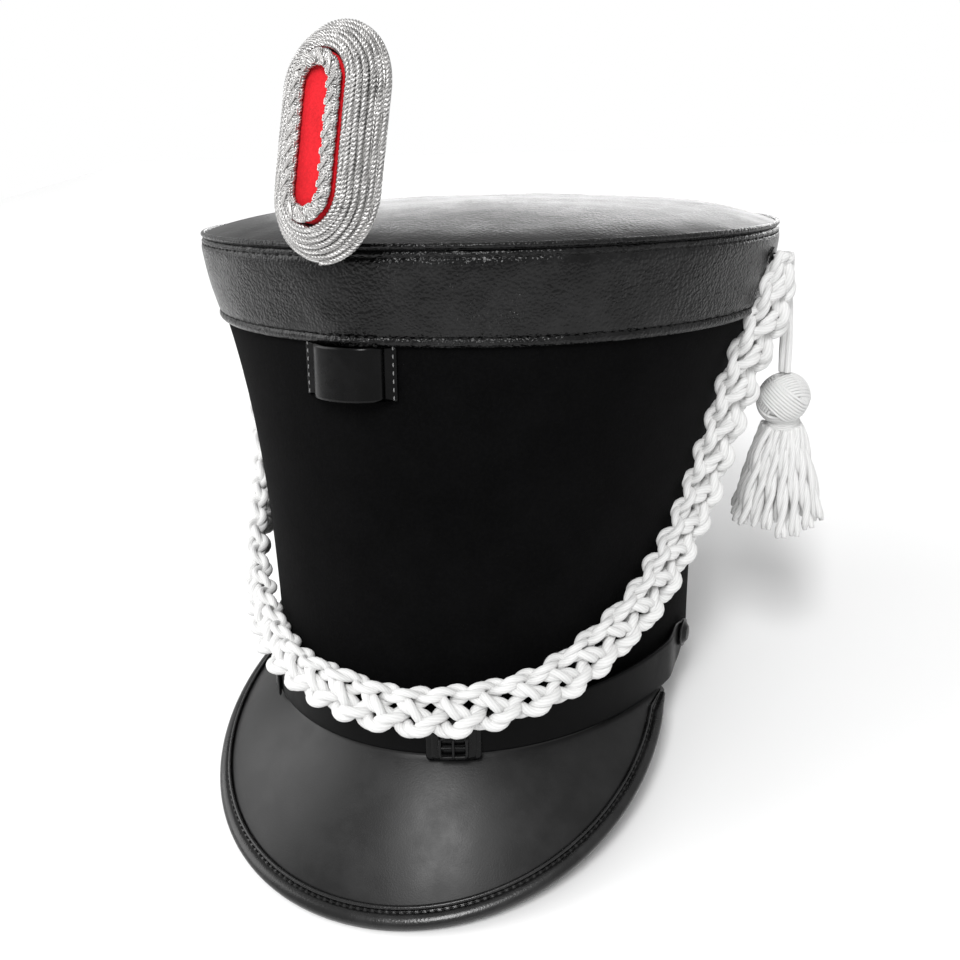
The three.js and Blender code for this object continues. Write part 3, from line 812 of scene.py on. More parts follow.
class Finishes:
    """Every finish of the hat, made once."""

    def __init__(self) -> None:
        """Makes the felts, the leathers, the lacquer and the yarns."""
        self.felt = FeltFinish("felt_black").material()
        self.red = FeltFinish(
            "felt_red", (0.52, 0.006, 0.012), (0.75, 0.012, 0.022), sheen=0.1, specular=0.2,
            fibre=0.0004, depth=0.00006,
        ).material()
        self.grained = LeatherFinish(
            "leather_grained", (0.0012, 0.0012, 0.0013), (0.014, 0.014, 0.0144), pebble=0.0011,
            pebble_depth=0.00052, rough=(0.22, 0.32), specular=0.24, painted_glint=0.4,
        ).material()
        self.crown = LeatherFinish(
            "leather_crown", pebble=0.0011, pebble_depth=0.0002, rough=(0.33, 0.38), specular=0.18
        ).material()
        self.smooth = LeatherFinish(
            "leather_smooth", (0.002, 0.002, 0.0021), (0.006, 0.006, 0.0062), pebble=0.0006,
            pebble_depth=0.000018, pore=0.0003, pore_depth=0.000008, rough=(0.38, 0.46),
            specular=0.38,
        ).material()
        self.edge = LeatherFinish(
            "leather_edge", (0.003, 0.003, 0.0031), (0.008, 0.008, 0.0082), pebble=0.0007,
            pebble_depth=0.00005, pore=0.0003, pore_depth=0.00002, rough=(0.24, 0.34),
            specular=0.48,
        ).material()
        self.patent = LeatherFinish(
            "leather_patent", (0.0015, 0.0015, 0.0016), (0.003, 0.003, 0.0032), pebble=0.002,
            pebble_depth=0.00001, pore=0.0006, pore_depth=0.000003, rough=(0.2, 0.34),
            specular=0.16,
        ).material()
        self.strap = LeatherFinish(
            "leather_strap", (0.0015, 0.0015, 0.0016), (0.003, 0.003, 0.0032), pebble=0.0007,
            pebble_depth=0.00003, pore=0.0003, pore_depth=0.00001, rough=(0.34, 0.46),
            specular=0.06,
        ).material()
        self.lacquer = LacquerFinish("metal_black").material()
        self.thread = YarnFinish(
            "thread_black", (0.004, 0.004, 0.004), (0.014, 0.014, 0.014), threads=3, lay=0.001,
            depth=0.00003, fuzz=0.00001, rough=0.6, sheen=0.01, specular=0.1,
        ).material()
        self.seam = YarnFinish(
            "thread_pale", (0.05, 0.05, 0.05), (0.3, 0.3, 0.3), threads=3, lay=0.001,
            depth=0.00003, fuzz=0.00001, rough=0.5, sheen=0.1,
        ).material()
        self.cotton = YarnFinish(
            "cotton_white", (0.62, 0.62, 0.615), (0.76, 0.76, 0.755), threads=9, lay=0.013,
            depth=0.00005, fuzz=0.00005,
        ).material()
        self.silver = YarnFinish(
            "thread_silver", (0.08, 0.078, 0.076), (0.74, 0.73, 0.72), threads=3, lay=0.0011,
            depth=0.00014, fuzz=0.00004, rough=0.34, metal=0.7, sheen=0.0, specular=0.5,
        ).material()
        self.wire = YarnFinish(
            "wire_silver", (0.3, 0.295, 0.29), (0.55, 0.54, 0.53), threads=2, lay=0.004,
            depth=0.00001, fuzz=0.00001, rough=0.34, metal=0.75, sheen=0.0, specular=0.5,
        ).material()


# ---- felt body ----------------------------------------------------------------------------------


@dataclass
class FeltBody:
    """The felt body: one wall that flares from the head's oval to a circle under the band."""

    thickness: float = 0.0025
    top: float = 0.1764
    steps: int = 240
    rows: int = 40
    edge_steps: int = 6

    def shell(self) -> Array:
        """The wall's outline of (out, z), carried round the oval: out is 0 outside, -thickness inside.

        Returns:
            A grid with a row for each angle, whose last row joins its first.
        """
        z = np.linspace(self.thickness / 2, self.top - self.thickness / 2, self.rows)
        line = np.stack([np.full_like(z, -self.thickness / 2), z], -1)
        outline = strip_outline(line, self.thickness, self.edge_steps)
        phi = np.linspace(0, TURN, self.steps, endpoint=False)
        return HAT.place(HAT.on_hat(phi[:, None], outline[None, :, 1], outline[None, :, 0]))

    def build(self, looks: Finishes) -> None:
        """Makes and dresses the body."""
        MeshKit(self.shell(), wrap_rows=True).piece("felt_body", looks.felt, Slot.FELT, "body_shell")


# ---- crown, welt and band -----------------------------------------------------------------------


@dataclass
class Crown:
    """The leather top: a low cushion, the piping around it, and the wide band under that."""

    rim_radius: float = 0.115
    rim_height: float = 0.179
    rise: float = 0.0105
    leather: float = 0.0018
    band_foot: float = 0.1462
    band_top: float = 0.177
    band_leather: float = 0.0011
    band_foot_radius: float = 0.110
    bulge_middle: float = math.radians(-3.5)
    bulge_half_angle: float = math.radians(11)
    bulge_height: float = 0.0022
    notch_middle: float = -0.0066
    notch_half_width: float = 0.0046
    notch_foot: float = 0.1097
    edge_inset: float = 0.0019
    edge_drop: float = 0.0007
    low_seam: float = 0.0031
    high_seam: float = 0.0021
    stitch: Stitch = Stitch(pitch=0.0031, length=0.0023, radius=0.0003, sink=0.00014)
    steps: int = 360

    def cushion(self) -> Array:
        """The top's two faces, turned: a low dome whose height falls with two powers of the radius.

        Three waves round the axis dent it, and fade towards its middle and its edge. Fine puckers run
        in from the edge, which dips a little where the rosette's prong passes.

        Returns:
            A grid with a row for each angle, whose last row joins its first.
        """
        edge = self.rim_radius - self.edge_inset
        foot = self.rim_height - self.edge_drop
        share = np.sin(np.linspace(0.004, 1, 48) * math.pi / 2)
        dome = 0.82 * (1 - share**2.4) + 0.18 * (1 - share**12)
        line = np.stack([edge * share, foot + self.rise * dome - self.leather / 2], -1)
        outline = strip_outline(line, self.leather, 5)
        grid = turned_profile(outline, self.steps)
        phi = np.linspace(0, TURN, self.steps, endpoint=False)[:, None]
        radius = outline[None, :, 0]
        inner = smooth_step(edge - radius, 0.002, 0.03) * smooth_step(radius, 0.0, 0.05)
        dents = (
            0.0006 * np.sin(2 * phi + 0.8) * np.cos(radius / 0.034)
            + 0.0003 * np.sin(3 * phi - 1.1 + radius / 0.03)
            + 0.00015 * np.sin(5 * phi + 2.0 - radius / 0.021)
        )
        near_edge = np.exp(-(((edge - radius) / 0.011) ** 2))
        puckers = 0.00012 * np.sin(31 * phi + 2 * np.sin(3 * phi)) * near_edge
        lift = inner * dents - smooth_step(edge - radius, 0.0, 0.003) * puckers
        notch_phi = math.asin(self.notch_middle / edge)
        near = np.exp(-(((phi - notch_phi + math.pi) % TURN - math.pi) / 0.035) ** 2)
        lift = lift - 0.0012 * near * np.exp(-(((edge - radius) / 0.004) ** 2))
        return grid + lift[..., None] * HAT.turned([0, 0, 1])

    def notched(self, grid: Array) -> Array:
        """Pulls the top's edge in where the rosette's prong passes: a narrow bay in its radius.

        Args:
            grid: the top's points, in the row's axes.

        Returns:
            The same points, those in the bay moved straight back to its foot.
        """
        local = grid - HAT.place([0.0, 0.0, 0.0])
        side = HAT.turned([[1, 0, 0], [0, -1, 0]])
        x, ahead = local @ side[0], local @ side[1]
        bay = smooth_step(self.notch_half_width - np.abs(x - self.notch_middle), 0, 0.0012)
        deep = np.maximum(ahead - self.notch_foot, 0) * bay
        return grid - deep[..., None] * side[1]

    def piping(self) -> Array:
        """The welt: a fat rounded cord of leather with a flat root, turned about the axis.

        Returns:
            A grid with a row for each angle, whose last row joins its first.
        """
        foot = self.band_top + 0.0003
        rim = self.rim_radius
        knots = [
            (rim - 0.0016, foot + 0.0001), (rim - 0.0006, foot), (rim, foot + 0.0006),
            (rim - 0.0001, foot + 0.0014), (rim - 0.0009, foot + 0.0019), (rim - 0.0016, foot + 0.0014),
        ]
        return turned_profile(closed_spline(knots, 28), self.steps)

    def band_line(self) -> Array:
        """The band's middle line, as (radius, z): a rolled foot, a flat face, a soft shoulder.

        Returns:
            The line's points at equal distances, a row each.
        """
        foot, top, rim = self.band_foot, self.band_top, self.rim_radius
        half, low = self.band_leather / 2, self.band_foot_radius
        knots = [
            (low, foot + 0.0004), (low + 0.0008, foot + 0.0014), (low + 0.0005, foot + 0.0025),
            (low, foot + 0.0031), (low + 0.0005, foot + 0.0038), (low + 0.0010, foot + 0.005),
            (low + 0.0025, foot + 0.012), (rim - 0.0005, top - 0.0085), (rim + 0.0001, top - 0.0045),
            (rim, top - 0.003), (rim - 0.0005, top - 0.0021), (rim - 0.0001, top - 0.0012),
            (rim - 0.0007, top - half),
        ]
        line = spline(knots, 72)
        line[:, 0] -= half
        return line

    def swell(self, phi: Array, z: Array) -> Array:
        """How far the band stands out over the plume socket: a cosine across, fading up the band.

        Args:
            phi: angles from the front.
            z: heights.

        Returns:
            The distances that are added to the band's radius.
        """
        turn = (phi - self.bulge_middle + math.pi) % TURN - math.pi
        side = np.minimum(np.abs(turn) / self.bulge_half_angle, 1)
        climb = np.clip((z - self.band_foot) / (self.band_top - self.band_foot), 0, 1)
        return self.bulge_height * np.cos(math.pi / 2 * side) ** 2 * (1 - climb)

    def band(self) -> Array:
        """The band's outline turned about the axis, with its swell and slow waves in the leather.

        Fine tucks cross both seams: a wave round the axis that fades away from each seam's height.

        Returns:
            A grid with a row for each angle, whose last row joins its first.
        """
        outline = strip_outline(self.band_line(), self.band_leather, 5)
        phi = np.linspace(0, TURN, self.steps, endpoint=False)[:, None]
        z = outline[None, :, 1]
        middle = smooth_step(z, self.band_foot + 0.004, self.band_foot + 0.014)
        middle = middle * smooth_step(self.band_top - z, 0.002, 0.01)
        waves = 0.00022 * np.sin(7 * phi + 90 * z) + 0.00016 * np.sin(17 * phi + 1.3 - 140 * z)
        low = np.exp(-(((z - self.band_foot - 0.0028) / 0.0014) ** 2))
        high = np.exp(-(((self.band_top - self.high_seam - z) / 0.0012) ** 2))
        tucks = 0.00016 * np.sin(117 * phi + 2 * np.sin(5 * phi)) * (low + high)
        return turned_profile(outline, self.steps, self.swell(phi, z) + middle * waves + tucks)

    def seam(self, z: float, radius: float) -> tuple[Array, Array]:
        """A level seam round the band: its points and its outward directions, in the row's axes.

        Args:
            z: the seam's height.
            radius: the leather's radius there.

        Returns:
            The points and the directions, a row each.
        """
        phi = np.linspace(0, TURN, 721)
        radial = np.stack([np.sin(phi), -np.cos(phi), np.zeros_like(phi)], -1)
        reach = radius + self.swell(phi, np.full_like(phi, z))
        points = reach[:, None] * radial
        points[:, 2] = z
        return HAT.place(points), HAT.turned(radial)

    def build(self, looks: Finishes) -> None:
        """Makes and dresses the top, the piping, the band and their stitches.

        Args:
            looks: the finishes.
        """
        top = MeshKit(self.notched(self.cushion()), wrap_rows=True)
        top.piece("crown_leather", looks.crown, Slot.GRAINED, "crown_top")
        welt = MeshKit(self.piping(), wrap_rows=True)
        welt.piece("crown_piping", looks.grained, Slot.GRAINED, "crown_welt")
        band = MeshKit(self.band(), wrap_rows=True)
        band.piece("band_leather", looks.grained, Slot.GRAINED, "top_band")
        high = self.seam(self.band_top - self.high_seam, self.rim_radius - 0.0005)
        low = self.seam(self.band_foot + self.low_seam, self.band_foot_radius + 0.00002)
        sewn = MeshKit(self.stitch.row(*high), self.stitch.row(*low))
        sewn.piece("band_stitches", looks.thread, Slot.GRAINED)


# ---- plume socket and side tabs -----------------------------------------------------------------


@dataclass
class PlumeSocket:
    """The leather socket under the band: a half tube for a plume, with a sewn flange on both sides."""

    middle: float = math.radians(-3.5)
    foot: float = 0.1285
    top: float = 0.1461
    half_width: float = 0.0176
    tube_half_width: float = 0.0132
    tube_depth: float = 0.0064
    leather: float = 0.0011
    gap: float = 0.0003
    seam_inset: float = 0.0011
    stitch: Stitch = Stitch(pitch=0.0021, length=0.0016, radius=0.00022, sink=0.0001)
    tab_foot: float = 0.1263
    tab_top: float = 0.1459
    tab_half_width: float = 0.008
    tab_foot_half_width: float = 0.0042
    tab_angle: float = math.radians(93)
    tab_lift: float = 0.00095

    def line(self) -> Array:
        """The socket's section as (side, out): flat, a half ellipse forward, and flat again.

        Returns:
            The section's middle line, a point a row.
        """
        turn = np.linspace(math.pi, 0, 40)
        inner = self.tube_half_width - self.leather / 2
        lift = self.gap + self.leather / 2
        bow = np.stack([inner * np.cos(turn), lift + self.tube_depth * np.sin(turn)], -1)
        flat = np.linspace(self.half_width - self.leather / 2, inner + 0.0004, 8)
        left = np.stack([-flat, np.full_like(flat, lift)], -1)
        right = np.stack([flat[::-1], np.full_like(flat, lift)], -1)
        return np.concatenate([left, bow, right])

    def at(self, side: Array, out: Array, z: Array) -> Array:
        """Row-frame points at a distance to the side of the socket's middle, and out from the felt."""
        return HAT.place(HAT.on_hat(HAT.along(self.middle, z, side), z, out))

    def build(self, looks: Finishes) -> None:
        """Makes and dresses the socket and the thread along its two flanges.

        Args:
            looks: the finishes.
        """
        outline = strip_outline(self.line(), self.leather)
        z = np.linspace(self.foot, self.top, 24)[:, None]
        kit = MeshKit(self.at(outline[None, :, 0], outline[None, :, 1], z))
        kit.piece("socket_leather", looks.patent, Slot.SMOOTH, "plume_socket")
        sewn = MeshKit()
        height = np.linspace(self.foot + 0.001, self.top - 0.0004, 40)
        for side in (-1, 1):
            across = np.full_like(height, side * (self.half_width - self.seam_inset))
            face = self.gap + self.leather
            seam = self.at(across, np.full_like(height, face), height)
            outward = self.at(across, np.full_like(height, face + 0.001), height) - seam
            sewn.add(self.stitch.row(seam, outward))
        sewn.piece("socket_stitches", looks.seam, Slot.SMOOTH)
        self.tabs(looks)

    def tabs(self, looks: Finishes) -> None:
        """A narrow leather tab under the band at each side, which tapers to a round foot.

        Args:
            looks: the finishes.
        """
        height = np.linspace(self.tab_foot, self.tab_top, 40)
        wider = smooth_step(height, self.tab_foot - 0.0008, self.tab_foot + 0.0097)
        half = self.tab_foot_half_width + (self.tab_half_width - self.tab_foot_half_width) * wider
        half = half * np.sqrt(np.clip((height - self.tab_foot + 0.0001) / 0.003, 0.02, 1))
        across = np.outer(half, np.linspace(-1, 1, 21))
        line = np.stack([across, np.full_like(across, self.tab_lift)], -1)
        outline = strip_outline(line, self.leather, 3)
        z = height[:, None]
        for name, side in (("left", 1), ("right", -1)):
            phi = HAT.along(side * self.tab_angle, z, outline[..., 0])
            kit = MeshKit(HAT.place(HAT.on_hat(phi, z, outline[..., 1])))
            kit.piece(f"tab_leather_{name}", looks.patent, Slot.SMOOTH, f"side_tab_{name}")


# ---- peak ---------------------------------------------------------------------------------------


@dataclass
class Peak:
    """The leather peak, which slopes down and out from the body, and the folded strip that binds it."""

    reach: float = 0.0582
    half_angle: float = math.radians(76.6)
    turn: float = math.radians(1.2)
    fullness: float = 2.08
    taper: float = 1.37
    front_slope: float = math.radians(49)
    side_slope: float = math.radians(30)
    droop: float = math.radians(8)
    leather: float = 0.0022
    flange: float = 0.008
    root: float = -0.0007
    gap: float = 0.0003
    binding: float = 0.0063
    end: float = 0.95
    binding_end: float = 0.925
    full_binding: float = 0.0105
    groove_inset: float = 0.0041
    groove_end: float = 0.85
    stitch: Stitch = Stitch(pitch=0.0026, length=0.0019, radius=0.00028, sink=0.00012)
    columns: int = 240
    rows: int = 40

    def lengths(self, share: Array) -> Array:
        """How far the peak reaches down its slope: 1 minus share to a power, to another power."""
        return self.reach * (1 - np.abs(share) ** self.fullness) ** self.taper

    def slope(self, share: Array, down: Array) -> Array:
        """The leather's slope: steep in front, less at the sides, and curling down to its edge."""
        base = self.front_slope + (self.side_slope - self.front_slope) * share**2
        return base + self.droop * (2 * down - 1)

    def lines(self, share: Array) -> Array:
        """Middle lines of the leather as (out, z), of shape (shares, rows + flange rows, 2).

        Each line is the running sum of small steps at the local slope, after a short bend out of the
        flange that stands against the felt.

        Args:
            share: shares of the peak's half angle, from -1 to 1.

        Returns:
            The lines, from the flange's top to the peak's edge.
        """
        length = self.lengths(share)[:, None]
        down = (np.arange(self.rows) + 0.5) / self.rows
        angle = self.slope(share[:, None], down[None])
        bend = smooth_step(down[None] * length, -0.002, 0.0022)
        angle = math.pi / 2 + (angle - math.pi / 2) * bend
        step = length / self.rows
        start = self.gap + self.leather / 2
        out = start + np.cumsum(step * np.cos(angle), axis=1)
        z = self.root - np.cumsum(step * np.sin(angle), axis=1)
        up = np.linspace(self.flange - self.leather / 2, self.root, 8)
        flange = np.broadcast_to(np.stack([np.full_like(up, start), up], -1), (len(share), 8, 2))
        return np.concatenate([flange, np.stack([out, z], -1)], axis=1)

    def at(self, share: Array, out: Array, z: Array) -> Array:
        """Row-frame points straight out and down from the body's lower edge at a share of the angle.

        Args:
            share: shares of the peak's half angle.
            out: distances straight out from the felt's lower edge.
            z: heights above it.

        Returns:
            The points.
        """
        phi = self.turn + share * self.half_angle
        foot = HAT.on_hat(phi, 0.0, 0.0)
        points = foot + out[..., None] * HAT.normal(phi, 0.0)
        points[..., 2] = z
        return HAT.place(points)

    def edge(self, share: Array) -> tuple[Array, Array, Array]:
        """The middle line's last point, its last direction and the direction over it, as (out, z).

        Args:
            share: shares of the peak's half angle.

        Returns:
            Three arrays with a row for each share.
        """
        line = self.lines(share)
        length = self.lengths(share)
        back = np.maximum((self.binding / length * self.rows).astype(int), 2)
        from_point = line[np.arange(len(share)), -1 - np.minimum(back, self.rows)]
        down = unit(line[:, -1] - from_point)
        return line[:, -1], down, np.stack([-down[:, 1], down[:, 0]], -1)

    def leather_grid(self) -> Array:
        """The peak's outline at each share of its half angle, the shares closer together near its ends.

        Returns:
            A grid with a row for each share.
        """
        share = self.end * np.sin(np.linspace(-1, 1, self.columns) * math.pi / 2)
        outline = strip_outline(self.lines(share), self.leather, 5)
        return self.at(share[:, None], outline[..., 0], outline[..., 1])

    def binding_grid(self) -> Array:
        """The folded strip: a bead at its inner edge, a sewn groove, and a fat roll at the peak's edge.

        Its outline is given as (distance past the peak's edge, height over the middle line), and it
        narrows towards its ends, where the peak is shorter than full_binding.

        Returns:
            A grid with a row for each share.
        """
        inner = self.leather / 2 + 0.0002
        face = self.leather / 2 + 0.0011
        width = self.binding
        above = [
            (-width, inner + 0.0003), (-width + 0.0002, face), (-width + 0.0008, face + 0.00035),
            (-width + 0.0014, face), (-width + 0.0018, face - 0.0007), (-width + 0.0026, face - 0.0007),
            (-width + 0.0032, face - 0.0001), (-0.0018, face + 0.0005), (-0.0004, face + 0.0006),
            (0.0008, face + 0.0002), (0.0017, face * 0.5), (0.0020, 0.0),
        ]
        below = [
            (0.0017, -face * 0.5), (0.0008, -face), (-0.0012, -face), (-0.0034, -face),
            (-width, -face + 0.0001), (-width, -inner - 0.0001),
        ]
        lining = [(-0.0004, -inner), (0.0002, 0.0), (-0.0004, inner)]
        outline = closed_spline([*above, *below, *lining], 96)
        share = self.binding_end * np.sin(np.linspace(-1, 1, self.columns) * math.pi / 2)
        edge, down, over = (part[:, None] for part in self.edge(share))
        tight = np.clip(self.lengths(share) / self.full_binding, 0.25, 1)[:, None, None]
        past, height = outline[None, :, :1], outline[None, :, 1:]
        spots = edge + tight * past * down + height * over
        return self.at(share[:, None], spots[..., 0], spots[..., 1])

    def groove(self) -> tuple[Array, Array]:
        """The seam in the binding's groove, and its directions out of the leather.

        Returns:
            The seam's points and directions, a row each.
        """
        share = self.groove_end * np.linspace(-1, 1, 500)
        edge, down, over = self.edge(share)
        height = self.leather / 2 + 0.0006
        low = edge - self.groove_inset * down + height * over
        high = low + 0.001 * over
        seam = self.at(share, low[:, 0], low[:, 1])
        return seam, self.at(share, high[:, 0], high[:, 1]) - seam

    def build(self, looks: Finishes) -> None:
        """Makes and dresses the peak, its binding and the stitches in the groove.

        Args:
            looks: the finishes.
        """
        MeshKit(self.leather_grid()).piece("peak_leather", looks.smooth, Slot.SMOOTH, "peak")
        MeshKit(self.binding_grid()).piece("peak_edge", looks.edge, Slot.SMOOTH, "peak_binding")
        sewn = MeshKit(self.stitch.row(*self.groove()))
        sewn.piece("peak_stitches", looks.thread, Slot.SMOOTH)


# ---- chin strap and its metal -------------------------------------------------------------------


@dataclass
class ChinStrap:
    """The leather strap that lies round the front, its two loops, its buckle and its side buttons."""

    foot: float = 0.0009
    width: float = 0.0176
    leather: float = 0.0018
    over_peak: float = 0.0029
    gap: float = 0.0003
    end_angle: float = math.radians(90.5)
    button_angle: float = math.radians(86.5)
    button_height: float = 0.0125
    loop_angle: float = math.radians(18)
    side_loop_angle: float = math.radians(-38)
    loop_foot: float = -0.0006
    loop_leather: float = 0.0013
    side_loop_leather: float = 0.0012
    button_radius: float = 0.0058
    button_depth: float = 0.0028
    buckle_half_width: float = 0.0048
    buckle_half_height: float = 0.0038
    buckle_height: float = 0.0056
    wire: float = 0.0007

    def inner_out(self, phi: Array) -> Array:
        """How far the strap's inner face stands off the felt: over the peak's flange, then close."""
        past = smooth_step(np.abs(phi), math.radians(75), math.radians(84))
        return self.over_peak + (self.gap - self.over_peak) * past

    def band(self) -> Array:
        """The strap: a rounded strip round the front, whose two edges draw in by a power near its ends.

        Returns:
            A grid with a row for each angle.
        """
        share = np.sin(np.linspace(-1, 1, 260) * math.pi / 2)
        phi = share * self.end_angle
        near = smooth_step(np.abs(share), 0.9, 1.0)
        low = self.foot + 0.42 * self.width * near**1.6
        high = self.foot + self.width * (1 - 0.18 * near**1.6)
        across = np.linspace(0, 1, 24)
        edge = self.leather / 2
        z = (low + edge)[:, None] + (high - low - self.leather)[:, None] * across
        line = np.stack([np.zeros_like(z), z], -1)
        outline = strip_outline(line, self.leather, 5)
        out = self.inner_out(phi)[:, None] + self.leather / 2 + outline[..., 0]
        return HAT.place(HAT.on_hat(phi[:, None], outline[..., 1], out))

    def loop(self, angle: float, width: float, low: float, high: float, thickness: float) -> Array:
        """A flat loop on the strap's face: a rounded plate, pressed in a little along its upright edges.

        Args:
            angle: where it lies, from the front towards the wearer's left.
            width: its size along the strap.
            low: the height of its foot.
            high: the height of its top.
            thickness: its thickness.

        Returns:
            A grid: the plate's section at each height, which draws in by a high power at both ends.
        """
        side = np.linspace(-0.5, 0.5, 41)
        groove = 0.35 * np.exp(-(((np.abs(side) - 0.43) / 0.035) ** 2))
        line = np.stack([side * (width - thickness), thickness * groove], -1)
        outline = strip_outline(line, thickness, 4)
        out = self.over_peak + self.leather + self.gap + thickness / 2 - outline[:, 1]
        z = np.linspace(low, high, 24)
        ease = np.sqrt(np.clip(1 - np.abs(np.linspace(-1, 1, 24)) ** 14, 0.05, 1))[:, None]
        phi = HAT.along(angle, 0.0, outline[None, :, 0] * (0.9 + 0.1 * ease))
        back = self.over_peak + self.leather + self.gap
        lift = back + thickness / 2 + (out[None] - back - thickness / 2) * ease
        return HAT.place(HAT.on_hat(phi, z[:, None], lift))

    def stand(self, grid: Array, phi: float, z: float, out: float) -> Array:
        """Places a grid of (side, up, out) points on the hat.

        Args:
            grid: the points.
            phi: the angle of their origin, from the front towards the wearer's left.
            z: its height.
            out: its distance from the felt's face.

        Returns:
            The points in the row's axes: the grid times the three directions there, plus the origin.
        """
        ahead = HAT.normal(phi, z)
        side = np.cross([0.0, 0.0, 1.0], ahead)
        up = np.cross(ahead, side)
        origin = HAT.on_hat(phi, z, out)
        return HAT.place(origin + grid @ np.stack([side, up, ahead]))

    def button(self, radius: float, height: float) -> Array:
        """A domed button with a rim and a ring pressed around it, turned about its own axis.

        Args:
            radius: the button's radius.
            height: how far its middle stands out.

        Returns:
            A grid of (side, up, out) points.
        """
        knots = [
            (0.0, 0.0), (radius * 0.93, 0.0), (radius, 0.0004), (radius * 0.98, 0.0009),
            (radius * 0.86, 0.0010), (radius * 0.78, 0.0013), (radius * 0.5, height * 0.88),
            (radius * 0.22, height * 0.98), (0.0, height),
        ]
        profile = resampled(np.array(knots), 44)
        profile[:, 0] = np.maximum(profile[:, 0], 0.00001)
        turn = np.linspace(0, TURN, 64, endpoint=False)
        ring = np.stack([np.cos(turn), np.sin(turn)], -1)
        flat = profile[:, None, :1] * ring[None]
        return np.concatenate([flat, np.broadcast_to(profile[:, None, 1:], (44, 64, 1))], -1)

    def frame_bars(self) -> list[Array]:
        """The buckle: a rounded wire round a rectangle, a bar across it, and a prong over the bar.

        The rectangle with round corners is a circle whose cosine and sine are taken to a small power.

        Returns:
            Three grids of (side, up, out) points, of which the first is closed both ways.
        """
        half_width, half_height, wire = self.buckle_half_width, self.buckle_half_height, self.wire
        turn = np.linspace(0, TURN, 160, endpoint=False)
        squared = 0.22
        across, up = (np.sign(wave) * np.abs(wave) ** squared for wave in (np.cos(turn), np.sin(turn)))
        rim = np.stack([half_width * across, half_height * up, np.full_like(turn, wire)], -1)
        lap = resampled(np.concatenate([rim, rim[:1]]), 161)[:-1]
        ahead = unit(np.roll(lap, -1, 0) - np.roll(lap, 1, 0))
        up = np.broadcast_to([0.0, 0.0, 1.0], lap.shape)
        bars = [tube(lap, up, np.cross(ahead, up), wire, 12)]
        for start, end in (((-half_width, 0), (half_width, 0)), ((0, -half_height), (0, half_height))):
            line = np.linspace(start, end, 24)
            lift = wire * (1.0 if start[1] == 0 else 1.7)
            spine = np.concatenate([line, np.full((24, 1), lift)], -1)
            _, normal, side = frames(spine, np.array([0.0, 0.0, 1.0]))
            bars.append(tube(spine, normal, side, wire * 0.8, 12))
        return bars

    def build(self, looks: Finishes) -> None:
        """Makes and dresses the strap, its loops, its buckle and its buttons.

        Args:
            looks: the finishes.
        """
        MeshKit(self.band()).piece("strap_leather", looks.strap, Slot.SMOOTH, "chin_strap")
        top = self.foot + self.width
        foot = self.loop_foot
        front = self.loop(self.loop_angle, 0.0186, foot, top + 0.0004, self.loop_leather)
        side = self.loop(self.side_loop_angle, 0.005, foot, top + 0.0002, self.side_loop_leather)
        for name, grid in (("front", front), ("side", side)):
            MeshKit(grid).piece(f"loop_{name}", looks.patent, Slot.PATENT, f"strap_keeper_{name}")
        buckle = MeshKit()
        out = self.over_peak + self.leather + self.gap + self.loop_leather + 0.0006
        for index, bar in enumerate(self.frame_bars()):
            placed = self.stand(bar, self.loop_angle, self.buckle_height, out)
            buckle.add(placed, wrap_rows=index == 0)
        buckle.piece("buckle", looks.lacquer, Slot.METAL, "strap_buckle")
        button = self.button(self.button_radius, self.button_depth)
        for name, sign in (("left", 1), ("right", -1)):
            phi = sign * self.button_angle
            lift = float(self.inner_out(np.array(phi))) + self.leather + self.gap
            kit = MeshKit(self.stand(button, phi, self.button_height, lift))
            kit.piece(f"button_{name}", looks.lacquer, Slot.METAL, f"side_button_{name}")


# ---- rosette ------------------------------------------------------------------------------------


